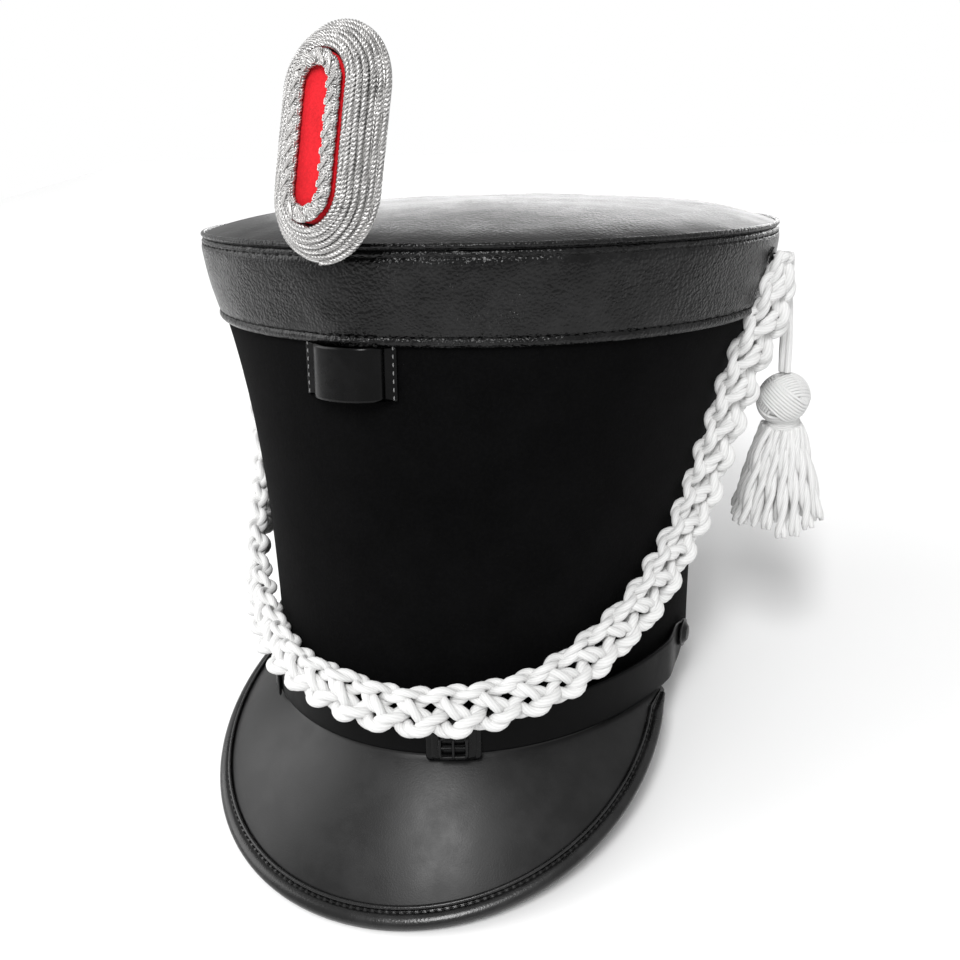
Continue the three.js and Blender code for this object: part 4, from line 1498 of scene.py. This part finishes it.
@dataclass
class Rosette:
    """The oval rosette: silver cord wound round a red field, gimp on its face, and a prong behind."""

    back: tuple[float, float, float] = (-0.0046, -0.1135, 0.2086)
    half_width: float = 0.0224
    half_height: float = 0.0369
    face_half_width: float = 0.0103
    face_half_height: float = 0.0256
    depth: float = 0.0084
    rows: int = 7
    lean_back: float = math.radians(13.5)
    turn: float = math.radians(-13.5)
    cord: float = 0.0021
    ply: float = 0.00062
    ply_offset: float = 0.00052
    ply_turn: float = 0.0027
    last_lap: float = 0.35
    back_inset: float = 0.0022
    gimp_inset: float = 0.0027
    gimp_half_width: float = 0.0019
    gimp_repeat: float = 0.0126
    scroll: float = 0.0048
    scroll_reach: float = 0.0021
    scroll_wire: float = 0.00028

    def place(self, points: Array) -> Array:
        """Places (across, forward, up) points of the rosette: leaned back, turned, and moved.

        Args:
            points: points in the rosette's own axes.

        Returns:
            The points in the row's axes.
        """
        x, forward, z = np.moveaxis(np.asarray(points, float), -1, 0)
        c, s = math.cos(-self.lean_back), math.sin(-self.lean_back)
        y, up = -forward * c - z * s, -forward * s + z * c
        a, b = math.cos(self.turn), math.sin(self.turn)
        return HAT.place(np.stack([x * a - y * b, x * b + y * a, up], -1) + np.array(self.back))

    @staticmethod
    def lap(share: Array, half_width: Array, half_height: Array) -> tuple[Array, Array]:
        """Points on an oval with round ends, and its outward direction, from its lowest point.

        Args:
            share: the share of the lap, where a lap is four straight halves and two half circles.
            half_width: half the oval's width, which is also its ends' radius.
            half_height: half its height.

        Returns:
            The (across, up) points, and the outward directions there.
        """
        straight = half_height - half_width
        total = 4 * straight + TURN * half_width
        at = (share % 1.0) * total
        quarter = TURN * half_width / 4
        low = np.clip(at, 0, quarter) + np.clip(at - total + quarter, 0, quarter)
        rising = np.clip(at - quarter, 0, 2 * straight)
        over = np.clip(at - quarter - 2 * straight, 0, 2 * quarter)
        falling = np.clip(at - 3 * quarter - 2 * straight, 0, 2 * straight)
        angle = (low + over) / half_width - math.pi / 2
        outward = np.stack([np.cos(angle), np.sin(angle)], -1)
        middle = -straight + rising - falling
        radius = half_width[..., None] if np.ndim(half_width) else half_width
        return radius * outward + np.stack([np.zeros_like(middle), middle], -1), outward

    def oval_line(self, half_width: float, half_height: float, count: int) -> tuple[Array, Array]:
        """One lap of an oval, evenly spaced, with its outward directions."""
        return self.lap(np.linspace(0, 1, count, endpoint=False), half_width, half_height)

    def ovals(self, rows: list[tuple[float, float, float]], count: int) -> Array:
        """A stack of ovals, given by half width, half height and how far forward each one is.

        Args:
            rows: an oval a row.
            count: points on each oval.

        Returns:
            A grid in the row's axes.
        """
        grid = []
        for half_width, half_height, lift in rows:
            flat, _ = self.oval_line(half_width, half_height, count)
            grid.append(np.stack([flat[:, 0], np.full(count, lift), flat[:, 1]], -1))
        return self.place(np.array(grid))

    def cord_spiral(self) -> tuple[Array, Array]:
        """The wound cord's middle line: laps of an oval that shrinks and climbs with each lap.

        Returns:
            The line, and the directions out of the winding, in the rosette's own axes.
        """
        laps = np.linspace(0, self.rows, 3000)
        share = np.clip(laps / (self.rows - self.last_lap), 0, 1)
        radius = self.cord / 2
        outer = np.array([self.half_width, self.half_height]) - radius
        inner = np.array([self.face_half_width, self.face_half_height]) + radius
        wide, high = (outer + share[:, None] * (inner - outer)).T
        flat, outward = self.lap(laps, wide, high)
        lift = radius + (self.depth - radius * 0.9) * np.sin(share * math.pi / 2) ** 1.15
        line = np.stack([flat[:, 0], lift, flat[:, 1]], -1)
        return line, np.stack([outward[:, 0], np.full_like(lift, 0.8), outward[:, 1]], -1)

    def wound(
        self, line: Array, hint: Array, offset: float, radius: float, pitch: float, sides: int
    ) -> list[Array]:
        """The plies of a twisted cord whose line is given in the rosette's own axes.

        Args:
            line: the cord's middle line.
            hint: directions near which its frames' normals lie.
            offset: how far a ply's middle is from the cord's.
            radius: a ply's radius.
            pitch: the length of a full turn.
            sides: the sides of each tube.

        Returns:
            A grid for each ply, in the row's axes.
        """
        placed = self.place(line)
        ahead = self.place(line + unit(hint) * 0.001) - placed
        return twisted(placed, ahead, offset, radius, pitch, sides)

    def winding(self, looks: Finishes) -> None:
        """The silver cord: two plies twisted, on a core that closes the gaps between the laps.

        The core's section is given as (half width, forward), and its height goes with its width.

        Args:
            looks: the finishes.
        """
        line, hint = (resampled(part, 3200) for part in self.cord_spiral())
        kit = MeshKit(*self.wound(line, hint, self.ply_offset, self.ply, self.ply_turn, 7))
        wide, narrow = self.half_width, self.face_half_width
        section = [
            (wide - 0.0008, 0.0004), (wide - 0.0011, 0.0013), (wide - 0.0036, 0.0035),
            (narrow + 0.0034, self.depth - 0.0012), (narrow + 0.0008, self.depth - 0.0004),
            (narrow + 0.0002, 0.0004),
        ]
        half_width, lift = resampled(np.array([*section, section[0]]), 41)[:-1].T
        shift = (half_width - wide) / (narrow - wide)
        half_height = self.half_height + shift * (self.face_half_height - self.half_height)
        kit.add(self.ovals(list(zip(half_width, half_height, lift)), 200), wrap_rows=True)
        kit.piece("rosette_winding", looks.silver, Slot.SILVER, "rosette_cord")

    def field_plate(self) -> Array:
        """The red felt: a thin oval plate with a rounded edge, slightly padded in its middle.

        Returns:
            A grid with a row for each ring.
        """
        rings = [(0.0005, 0.0), (1.0, 0.0), (1.0, self.depth - 0.0006), (0.985, self.depth - 0.0001)]
        rings += [(s, self.depth + 0.0005 * (1 - s * s)) for s in (0.95, 0.8, 0.6, 0.4, 0.2)]
        rings.append((0.0005, self.depth + 0.0005))
        width, height = self.face_half_width - 0.0004, self.face_half_height - 0.0004
        return self.ovals([(width * share, height * share, lift) for share, lift in rings], 160)

    def gimp(self, looks: Finishes) -> None:
        """The gimp: three strands that weave across a narrow oval track, over a flat silver core.

        A strand's place across the track is a sine of its distance along it, and its height a cosine,
        so that each comes over the others as an S.

        Args:
            looks: the finishes.
        """
        middle = (self.face_half_width - self.gimp_inset, self.face_half_height - self.gimp_inset)
        count = 900
        flat, outward = self.oval_line(*middle, count)
        track = np.stack([flat[:, 0], np.full(count, self.depth + 0.0016), flat[:, 1]], -1)
        aside = np.stack([outward[:, 0], np.zeros(count), outward[:, 1]], -1)
        front = np.array([0.0, 1.0, 0.0])
        coils = round(distances(track)[-1] / self.gimp_repeat)
        angle = TURN * coils * np.arange(count) / count
        kit = MeshKit()
        for strand in range(3):
            t = angle + TURN * strand / 3
            t = t + 0.35 * np.sin(2 * t)
            across = (self.gimp_half_width * np.sin(t))[:, None] * aside
            line = track + across + (0.0006 * np.cos(t))[:, None] * front
            hint = np.broadcast_to(front, line.shape)
            for ply in self.wound(line, hint, 0.00034, 0.00042, 0.0018, 6):
                kit.add(ply)
        turn = np.linspace(0, TURN, 16, endpoint=False)
        across = (self.gimp_half_width * np.cos(turn))[None, :, None] * aside[:, None]
        core = track[:, None] + across + (0.0009 * np.sin(turn))[None, :, None] * front
        kit.add(self.place(core[::3]), wrap_rows=True)
        kit.piece("rosette_coils", looks.silver, Slot.SILVER, "rosette_gimp")
        self.scrolls(looks, track, aside, front)

    def scrolls(self, looks: Finishes, track: Array, aside: Array, front: Array) -> None:
        """The bright wires on the gimp: two side by side, which snake across it in leaning S bends.

        A wire's place across the track is a sine of its distance along it, and half a sine of twice
        that leans each bend over the next.

        Args:
            looks: the finishes.
            track: the gimp's middle line, in the rosette's own axes.
            aside: the direction across the track at each point.
            front: the direction out of the rosette's face.
        """
        turns = round(distances(track)[-1] / self.scroll)
        t = TURN * turns * np.arange(len(track)) / len(track)
        ahead = unit(np.roll(track, -1, 0) - np.roll(track, 1, 0))
        kit = MeshKit()
        for shift in (-0.0004, 0.0004):
            line = (
                track
                + (self.scroll_reach * np.sin(t))[:, None] * aside
                + (0.001 * np.sin(2 * t) + shift)[:, None] * ahead
                + (0.0011 + 0.0002 * np.cos(t))[:, None] * front
            )
            placed = self.place(line)
            _, up, side = frames(placed, unit(self.place(line + 0.001 * front) - placed))
            kit.add(tube(placed, up, side, self.scroll_wire, 8), wrap_rows=True)
        kit.piece("rosette_scrolls", looks.wire, Slot.SILVER)

    def back_plate(self) -> Array:
        """The leather back: a thin oval plate with rounded edges, a little smaller than the winding.

        Returns:
            A grid with a row for each ring.
        """
        inset = self.back_inset
        rows = [
            (0.02, -0.0012), (inset + 0.0006, -0.0012), (inset, -0.0009), (inset, -0.0005),
            (inset + 0.0006, -0.0003), (0.02, -0.0003),
        ]
        sizes = [(self.half_width - less, self.half_height - less, lift) for less, lift in rows]
        return self.ovals(sizes, 160)

    def build(self, looks: Finishes) -> None:
        """Makes and dresses the winding, the red field, the gimp and the leather back.

        Args:
            looks: the finishes.
        """
        self.winding(looks)
        MeshKit(self.field_plate()).piece("rosette_felt", looks.red, Slot.RED, "rosette_field")
        self.gimp(looks)
        back = MeshKit(self.back_plate())
        back.piece("rosette_leather", looks.grained, Slot.GRAINED, "rosette_back")


# ---- cords --------------------------------------------------------------------------------------


def twisted(
    line: Array, hint: Array, offset: float | Array, radius: float | Array, pitch: float, sides: int
) -> list[Array]:
    """The two plies of a cord along a line, each a tube that winds around it once each pitch.

    Args:
        line: the cord's middle line, in the row's axes.
        hint: directions near which the frames' normals lie.
        offset: how far a ply's middle is from the cord's.
        radius: a ply's radius.
        pitch: the length of a full turn.
        sides: the sides of each tube.

    Returns:
        A grid for each ply.
    """
    _, normal, side = frames(line, hint)
    turn = TURN * distances(line) / pitch
    offset = np.broadcast_to(np.asarray(offset, float), (len(line),))[:, None]
    grids = []
    for angle in (turn, turn + TURN / 2):
        away = np.cos(angle)[:, None] * normal + np.sin(angle)[:, None] * side
        spine = line + offset * away
        _, up, across = frames(spine, away)
        grids.append(tube(spine, up, across, radius, sides))
    return grids


@dataclass
class Festoon:
    """The plaited cord that hangs from stud to stud round the front: four twisted strands."""

    width: float = 0.0176
    repeat: float = 0.0544
    strand_offset: float = 0.00112
    ply: float = 0.0017
    lay: float = 0.0165
    reach: float = 0.0062
    rise: float = 0.0024
    tilt: float = 0.35
    turn: float = 0.68
    lift: float = 0.0012
    fuller: float = 0.14
    # The middle line, from the stud on the wearer's left round the front to the one on the right.
    route: tuple = (
        (0.1187, -0.007, 0.168), (0.1172, -0.0085, 0.157), (0.115, -0.0105, 0.146),
        (0.1102, -0.012, 0.134), (0.1048, -0.0135, 0.116), (0.0994, -0.0155, 0.0965),
        (0.0958, -0.019, 0.082), (0.0928, -0.027, 0.0707), (0.0885, -0.0402, 0.058),
        (0.0837, -0.055, 0.0474), (0.0773, -0.0685, 0.04), (0.0693, -0.083, 0.0334),
        (0.0595, -0.0976, 0.028), (0.0475, -0.1083, 0.0248), (0.0348, -0.1164, 0.0228),
        (0.02, -0.1216, 0.0218), (0.004, -0.1236, 0.0223), (-0.0105, -0.1224, 0.0242),
        (-0.0243, -0.1184, 0.025), (-0.0376, -0.112, 0.0258), (-0.05, -0.1024, 0.0278),
        (-0.0625, -0.0904, 0.0302), (-0.0732, -0.078, 0.0336), (-0.0812, -0.0674, 0.039),
        (-0.0883, -0.056, 0.0468), (-0.0943, -0.042, 0.056), (-0.0982, -0.03, 0.067),
        (-0.1016, -0.0215, 0.082), (-0.1054, -0.016, 0.101), (-0.1102, -0.0124, 0.124),
        (-0.116, -0.0095, 0.148), (-0.1187, -0.007, 0.168),
    )

    def build(self, looks: Finishes) -> None:
        """A strand's place across the plait is reach * sin(t) and its height is rise * cos(3t), where t
        grows by a turn each repeat and each strand is a quarter turn behind the last. So it goes
        under, over and under the three others on its way from edge to edge. The middle is lifted by
        lift * (1 - sin(t) squared), and strands are fuller at the lower edge. The flat face looks out
        and a little up in front, and where the plait hangs free it is twisted by turn.

        Args:
            looks: the finishes.
        """
        count = 1150
        line = spline(np.array(self.route), count)
        around = np.arctan2(line[:, 0], -line[:, 1] - HAT.base_forward)
        side = np.degrees(np.abs(around))
        faced = around - self.turn * smooth_step(side, 55, 85)
        lean = self.tilt * (1 - smooth_step(side, 40, 75))
        _, thin, broad = frames(line, unit(np.stack([np.sin(faced), -np.cos(faced), lean], -1)))
        along = distances(line)
        ends = np.minimum(along, along[-1] - along)
        grown = 0.42 + 0.58 * smooth_step(ends, 0.0, 0.022)
        wander = 1 + 0.05 * np.sin(along / 0.017) + 0.04 * np.sin(along / 0.0071 + 1)
        kit = MeshKit()
        for strand in range(4):
            t = TURN * along / self.repeat + math.pi / 2 * strand
            t = t + 0.1 * np.sin(along / 0.023 + strand)
            edge = np.sin(t)
            across = grown * wander * (self.reach * edge + self.lift * (1 - edge**2))
            height = grown * self.rise * np.cos(3 * t)
            plump = 1 - self.fuller * edge
            spine = line + across[:, None] * broad + height[:, None] * thin
            placed = HAT.place(resampled(spine, count))
            offset, radius = self.strand_offset * plump, self.ply * plump
            for grid in twisted(placed, HAT.turned(thin), offset, radius, self.lay, 10):
                kit.add(grid)
        path = HAT.place(line)
        plait = kit.piece("plaited_cord", looks.cotton, Slot.WHITE, "festoon")
        tuple(path[0])
        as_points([tuple(p) for p in path[::10]] + [tuple(path[-1])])


@dataclass
class Tassel:
    """The tassel: a cord straight down from the plait's end, a knot ball, and a skirt of strands."""

    top: tuple[float, float, float] = (0.1206, -0.0022, 0.1652)
    cord: float = 0.0046
    cord_length: float = 0.0438
    ply: float = 0.0013
    ply_offset: float = 0.00115
    ply_turn: float = 0.11
    knot: float = 0.0106
    thread: float = 0.00066
    thread_depth: float = 0.0015
    lanes: int = 9
    lane_reach: float = 0.0043
    neck: float = 0.0056
    skirt_top: float = 0.0088
    skirt_foot: float = 0.0206
    skirt_length: float = 0.0438
    # Each round of strands: how many, and how far in it lies, as a share of the skirt's radius.
    rounds: tuple = ((19, 0.0), (12, 0.34), (6, 0.68))

    def place(self, points: Array) -> Array:
        """Points given from the tassel's top, in level axes, because the tassel hangs plumb."""
        return HAT.place(np.array(self.top)) + points

    def line(self) -> Array:
        """The cord's middle line: out of the plait's end, and straight down.

        Returns:
            The line in the row's axes, a point a row.
        """
        route = [
            (-0.0006, 0.0011, 0.0018), (-0.0002, 0.0004, 0.0006), (0, 0, -0.002), (0, 0, -0.014),
            (0, 0, -self.cord_length),
        ]
        return self.place(spline(np.array(route), 120))

    def hanging_cord(self, looks: Finishes) -> bpy.types.Object:
        """The cord: two plies that hardly turn, along the middle line.

        Args:
            looks: the finishes.

        Returns:
            The cord's object.
        """
        hint = np.array([0.6, -0.8, 0.0])
        kit = MeshKit(*twisted(self.line(), hint, self.ply_offset, self.ply, self.ply_turn, 14))
        return kit.piece("tassel_line", looks.cotton, Slot.WHITE, "tassel_cord")

    def ball(self, looks: Finishes) -> bpy.types.Object:
        """The knot ball: bands of fine parallel cords, wound on three tilted circles, over a core.

        A band's radius is the ball's plus a cosine of twice the angle round it, so that it passes
        over and under the two others in turn. Four laps of the same cord make the neck under it.

        Args:
            looks: the finishes.

        Returns:
            The ball's object.
        """
        centre = self.place(np.array([0, 0, -self.cord_length - 0.0003 - self.knot * 1.03]))
        kit = MeshKit()
        shell = self.knot - self.thread_depth
        turn = np.linspace(0, TURN, 110, endpoint=False)
        tilt = np.array([[0.62, 0.2, 0.76], [-0.52, 0.62, 0.59], [-0.25, -0.82, 0.52]])
        for index, axis in enumerate(unit(tilt)):
            helper = unit(np.cross(axis, [0.0, 0.0, 1.0]))
            other = np.cross(axis, helper)
            weave = 0.00045 * np.cos(2 * turn + index * 2.1) + 0.00055
            fuller = 1 + weave / shell
            circle = np.cos(turn)[:, None] * helper + np.sin(turn)[:, None] * other
            for level in self.lane_reach * np.linspace(-1, 1, self.lanes):
                reach = math.sqrt(shell**2 - level**2)
                ring = (reach * fuller)[:, None] * circle + level * fuller[:, None] * axis
                out = unit(ring)
                ahead = unit(np.roll(ring, -1, 0) - np.roll(ring, 1, 0))
                lane = tube(centre + ring, out, np.cross(ahead, out), self.thread, 7)
                kit.add(lane, wrap_rows=True)
        lat = np.linspace(-math.pi / 2, math.pi / 2, 40)
        core = np.stack(
            [
                np.outer(np.cos(lat), np.cos(turn)), np.outer(np.cos(lat), np.sin(turn)),
                np.outer(np.sin(lat), np.ones_like(turn)),
            ],
            -1,
        )
        core[0, :, :2], core[-1, :, :2] = 0.001 * core[20, :, :2], 0.001 * core[20, :, :2]
        kit.add(centre + shell * core)
        for index in range(4):
            height = -self.knot * (0.80 + 0.075 * index)
            radius = self.neck + 0.0002 * index
            lap = np.stack([radius * np.cos(turn), radius * np.sin(turn), np.full_like(turn, height)], -1)
            out = unit(lap * np.array([1, 1, 0]))
            up = np.broadcast_to([0.0, 0.0, 1.0], out.shape)
            kit.add(tube(centre + lap, out, up, 0.0006, 7), wrap_rows=True)
        return kit.piece("tassel_ball", looks.cotton, Slot.WHITE, "tassel_knot")

    def skirt(self, looks: Finishes) -> bpy.types.Object:
        """The skirt: rounds of two-ply strands that spread, wave a little and end unevenly.

        A strand's distance from the middle grows by a power of its share of the length, and its angle
        sways by a sine of it.

        Args:
            looks: the finishes.

        Returns:
            The skirt's object.
        """
        rng = np.random.default_rng(7)
        start = -self.cord_length - 0.0006 - 2.06 * self.knot
        kit = MeshKit()
        share = np.linspace(0, 1, 56)
        for ring, (count, inset) in enumerate(self.rounds):
            for index in range(count):
                turn = TURN * (index + 0.5 * ring + rng.uniform(-0.3, 0.3)) / count
                length = self.skirt_length * rng.uniform(0.88, 0.995) - 0.0008
                thick = rng.uniform(0.00132, 0.0015)
                foot = (self.skirt_foot - 0.0027) * (1 - inset) * rng.uniform(0.88, 1.0)
                neck = (self.skirt_top - 0.0029) * (1 - inset)
                reach = neck + (foot - neck) * share ** rng.uniform(0.7, 1.0)
                sway = 0.05 * rng.uniform(-1, 1) * np.sin(share * rng.uniform(3, 6)) * share
                line = np.stack(
                    [reach * np.cos(turn + sway), reach * np.sin(turn + sway), start - length * share], -1
                )
                out = np.array([math.cos(turn), math.sin(turn), 0.0])
                pitch = rng.uniform(0.026, 0.036)
                loose = thick * (0.72 + 0.2 * smooth_step(share, 0.85, 1.0))
                _, normal, side = frames(line, out)
                angle = TURN * share * length / pitch + rng.uniform(0, TURN)
                width = thick * (1 - 0.35 * smooth_step(share, 0.93, 1.0))
                for turned in (angle, angle + math.pi):
                    away = np.cos(turned)[:, None] * normal + np.sin(turned)[:, None] * side
                    spine = self.place(line + loose[:, None] * away)
                    _, up, across = frames(spine, away)
                    kit.add(tube(spine, up, across, width, 8))
        return kit.piece("tassel_skirt", looks.cotton, Slot.WHITE, "tassel_fringe")

    def build(self, looks: Finishes) -> None:
        """Makes the tassel.

        Args:
            looks: the finishes.
        """
        hung = self.hanging_cord(looks)
        ball = self.ball(looks)
        skirt = self.skirt(looks)
        line = self.line()
        tuple(line[0])
        float(distances(line)[-1])
        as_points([tuple(p) for p in line[::6]] + [tuple(line[-1])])


# ---- the CAD pieces that stay -------------------------------------------------------------------


def dress_frame(looks: Finishes) -> None:
    """Gives the CAD nodes that stay in view their finish: the studs and the rosette's prong.

    Args:
        looks: the finishes.
    """
    for name in ("cord_stud_left", "cord_stud_right", "rosette_stem"):
        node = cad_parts[name]
        node.data.materials.clear()
        node.data.materials.append(looks.lacquer)
        LOG.info("%s: dressed", name)


# ---- camera, floor and light --------------------------------------------------------------------


@dataclass
class Studio:
    """The camera, a pale flat floor, and soft light all round."""

    eye: tuple[float, float, float] = (0.16117, -0.3970, 0.20324)
    ahead: tuple[float, float, float] = (-0.37101, 0.87799, -0.30246)
    up: tuple[float, float, float] = (-0.09732, 0.28715, 0.95293)
    lens: float = 37.9
    surround: float = 0.82
    floor_half_size: float = 1.3
    # Each lamp's name, place, width, height and power.
    lamps: tuple = (
        ("side", (-1.5, -0.35, 0.95), 1.3, 1.3, 15),
        ("back", (-0.1, 1.9, 0.24), 2.4, 0.36, 14),
        ("front", (0.22, -1.1, 1.5), 0.35, 0.8, 21),
    )

    def camera(self) -> None:
        """Puts the camera where it looks down on the hat from the front and its left."""
        data = bpy.data.cameras.new("camera")
        data.lens, data.sensor_width = self.lens, 36.0
        data.clip_start, data.clip_end = 0.01, 50.0
        made = bpy.data.objects.new("camera", data)
        bpy.context.scene.collection.objects.link(made)
        ahead, up = unit(HAT.turned(self.ahead)), unit(HAT.turned(self.up))
        right = np.cross(ahead, up)
        eye = HAT.place(self.eye)
        made.matrix_world = Matrix(
            [[right[i], up[i], -ahead[i], eye[i]] for i in range(3)] + [[0, 0, 0, 1]]
        )
        bpy.context.scene.camera = made

    def floor(self) -> None:
        """A pale floor, flat under the hat."""
        size = self.floor_half_size
        corners = [(-size, -size, 0), (size, -size, 0), (size, size, 0), (-size, size, 0)]
        mesh = bpy.data.meshes.new("floor")
        mesh.from_pydata(corners, [], [(0, 1, 2, 3)])
        made = bpy.data.objects.new("floor", mesh)
        bpy.context.scene.collection.objects.link(made)
        w = Wiring("floor")
        mesh.materials.append(w.finish(Base_Color=(0.92, 0.92, 0.92, 1), Roughness=0.9))
        made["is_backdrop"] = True

    def lamp(self, name: str, place: tuple, wide: float, high: float, power: float) -> None:
        """A rectangular soft light, turned to the hat's middle.

        Args:
            name: the lamp's name.
            place: where it is, in the row's axes.
            wide: its width.
            high: its height.
            power: its power in watts.
        """
        data = bpy.data.lights.new(name, "AREA")
        data.shape = "RECTANGLE"
        data.size, data.size_y, data.energy = wide, high, power
        made = bpy.data.objects.new(name, data)
        bpy.context.scene.collection.objects.link(made)
        made.location = place
        made.visible_camera = False
        middle = (CAD_BOX[0] + CAD_BOX[1]) / 2
        made.rotation_euler = (middle - Vector(place)).to_track_quat("-Z", "Y").to_euler()

    def light(self) -> None:
        """The lamps, and a pale surround that is plain white where the camera sees it."""
        world = bpy.data.worlds.new("surround")
        world.use_nodes = True
        tree = world.node_tree
        seen = tree.nodes["Background"]
        seen.inputs["Color"].default_value = (1, 1, 1, 1)
        lit = tree.nodes.new("ShaderNodeBackground")
        lit.inputs["Strength"].default_value = self.surround
        either = tree.nodes.new("ShaderNodeMixShader")
        ray = tree.nodes.new("ShaderNodeLightPath")
        tree.links.new(ray.outputs["Is Camera Ray"], either.inputs[0])
        tree.links.new(lit.outputs[0], either.inputs[1])
        tree.links.new(seen.outputs[0], either.inputs[2])
        tree.links.new(either.outputs[0], tree.nodes["World Output"].inputs[0])
        bpy.context.scene.world = world
        for lamp in self.lamps:
            self.lamp(*lamp)
        bpy.context.scene.view_settings.view_transform = "Standard"


def main() -> None:
    """Builds the hat piece by piece."""
    logging.basicConfig(level=logging.INFO, format="%(name)s %(message)s")
    studio = Studio()
    studio.camera()
    looks = Finishes()
    Festoon().build(looks)
    Tassel().build(looks)
    FeltBody().build(looks)
    Crown().build(looks)
    PlumeSocket().build(looks)
    Peak().build(looks)
    ChinStrap().build(looks)
    Rosette().build(looks)
    dress_frame(looks)
    studio.floor()
    studio.light()
    boxes = {"cad": CAD_BOX, "visual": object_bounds()}
    {name: [list(corner) for corner in box] for name, box in boxes.items()}


if __name__ == "__main__":
    main()
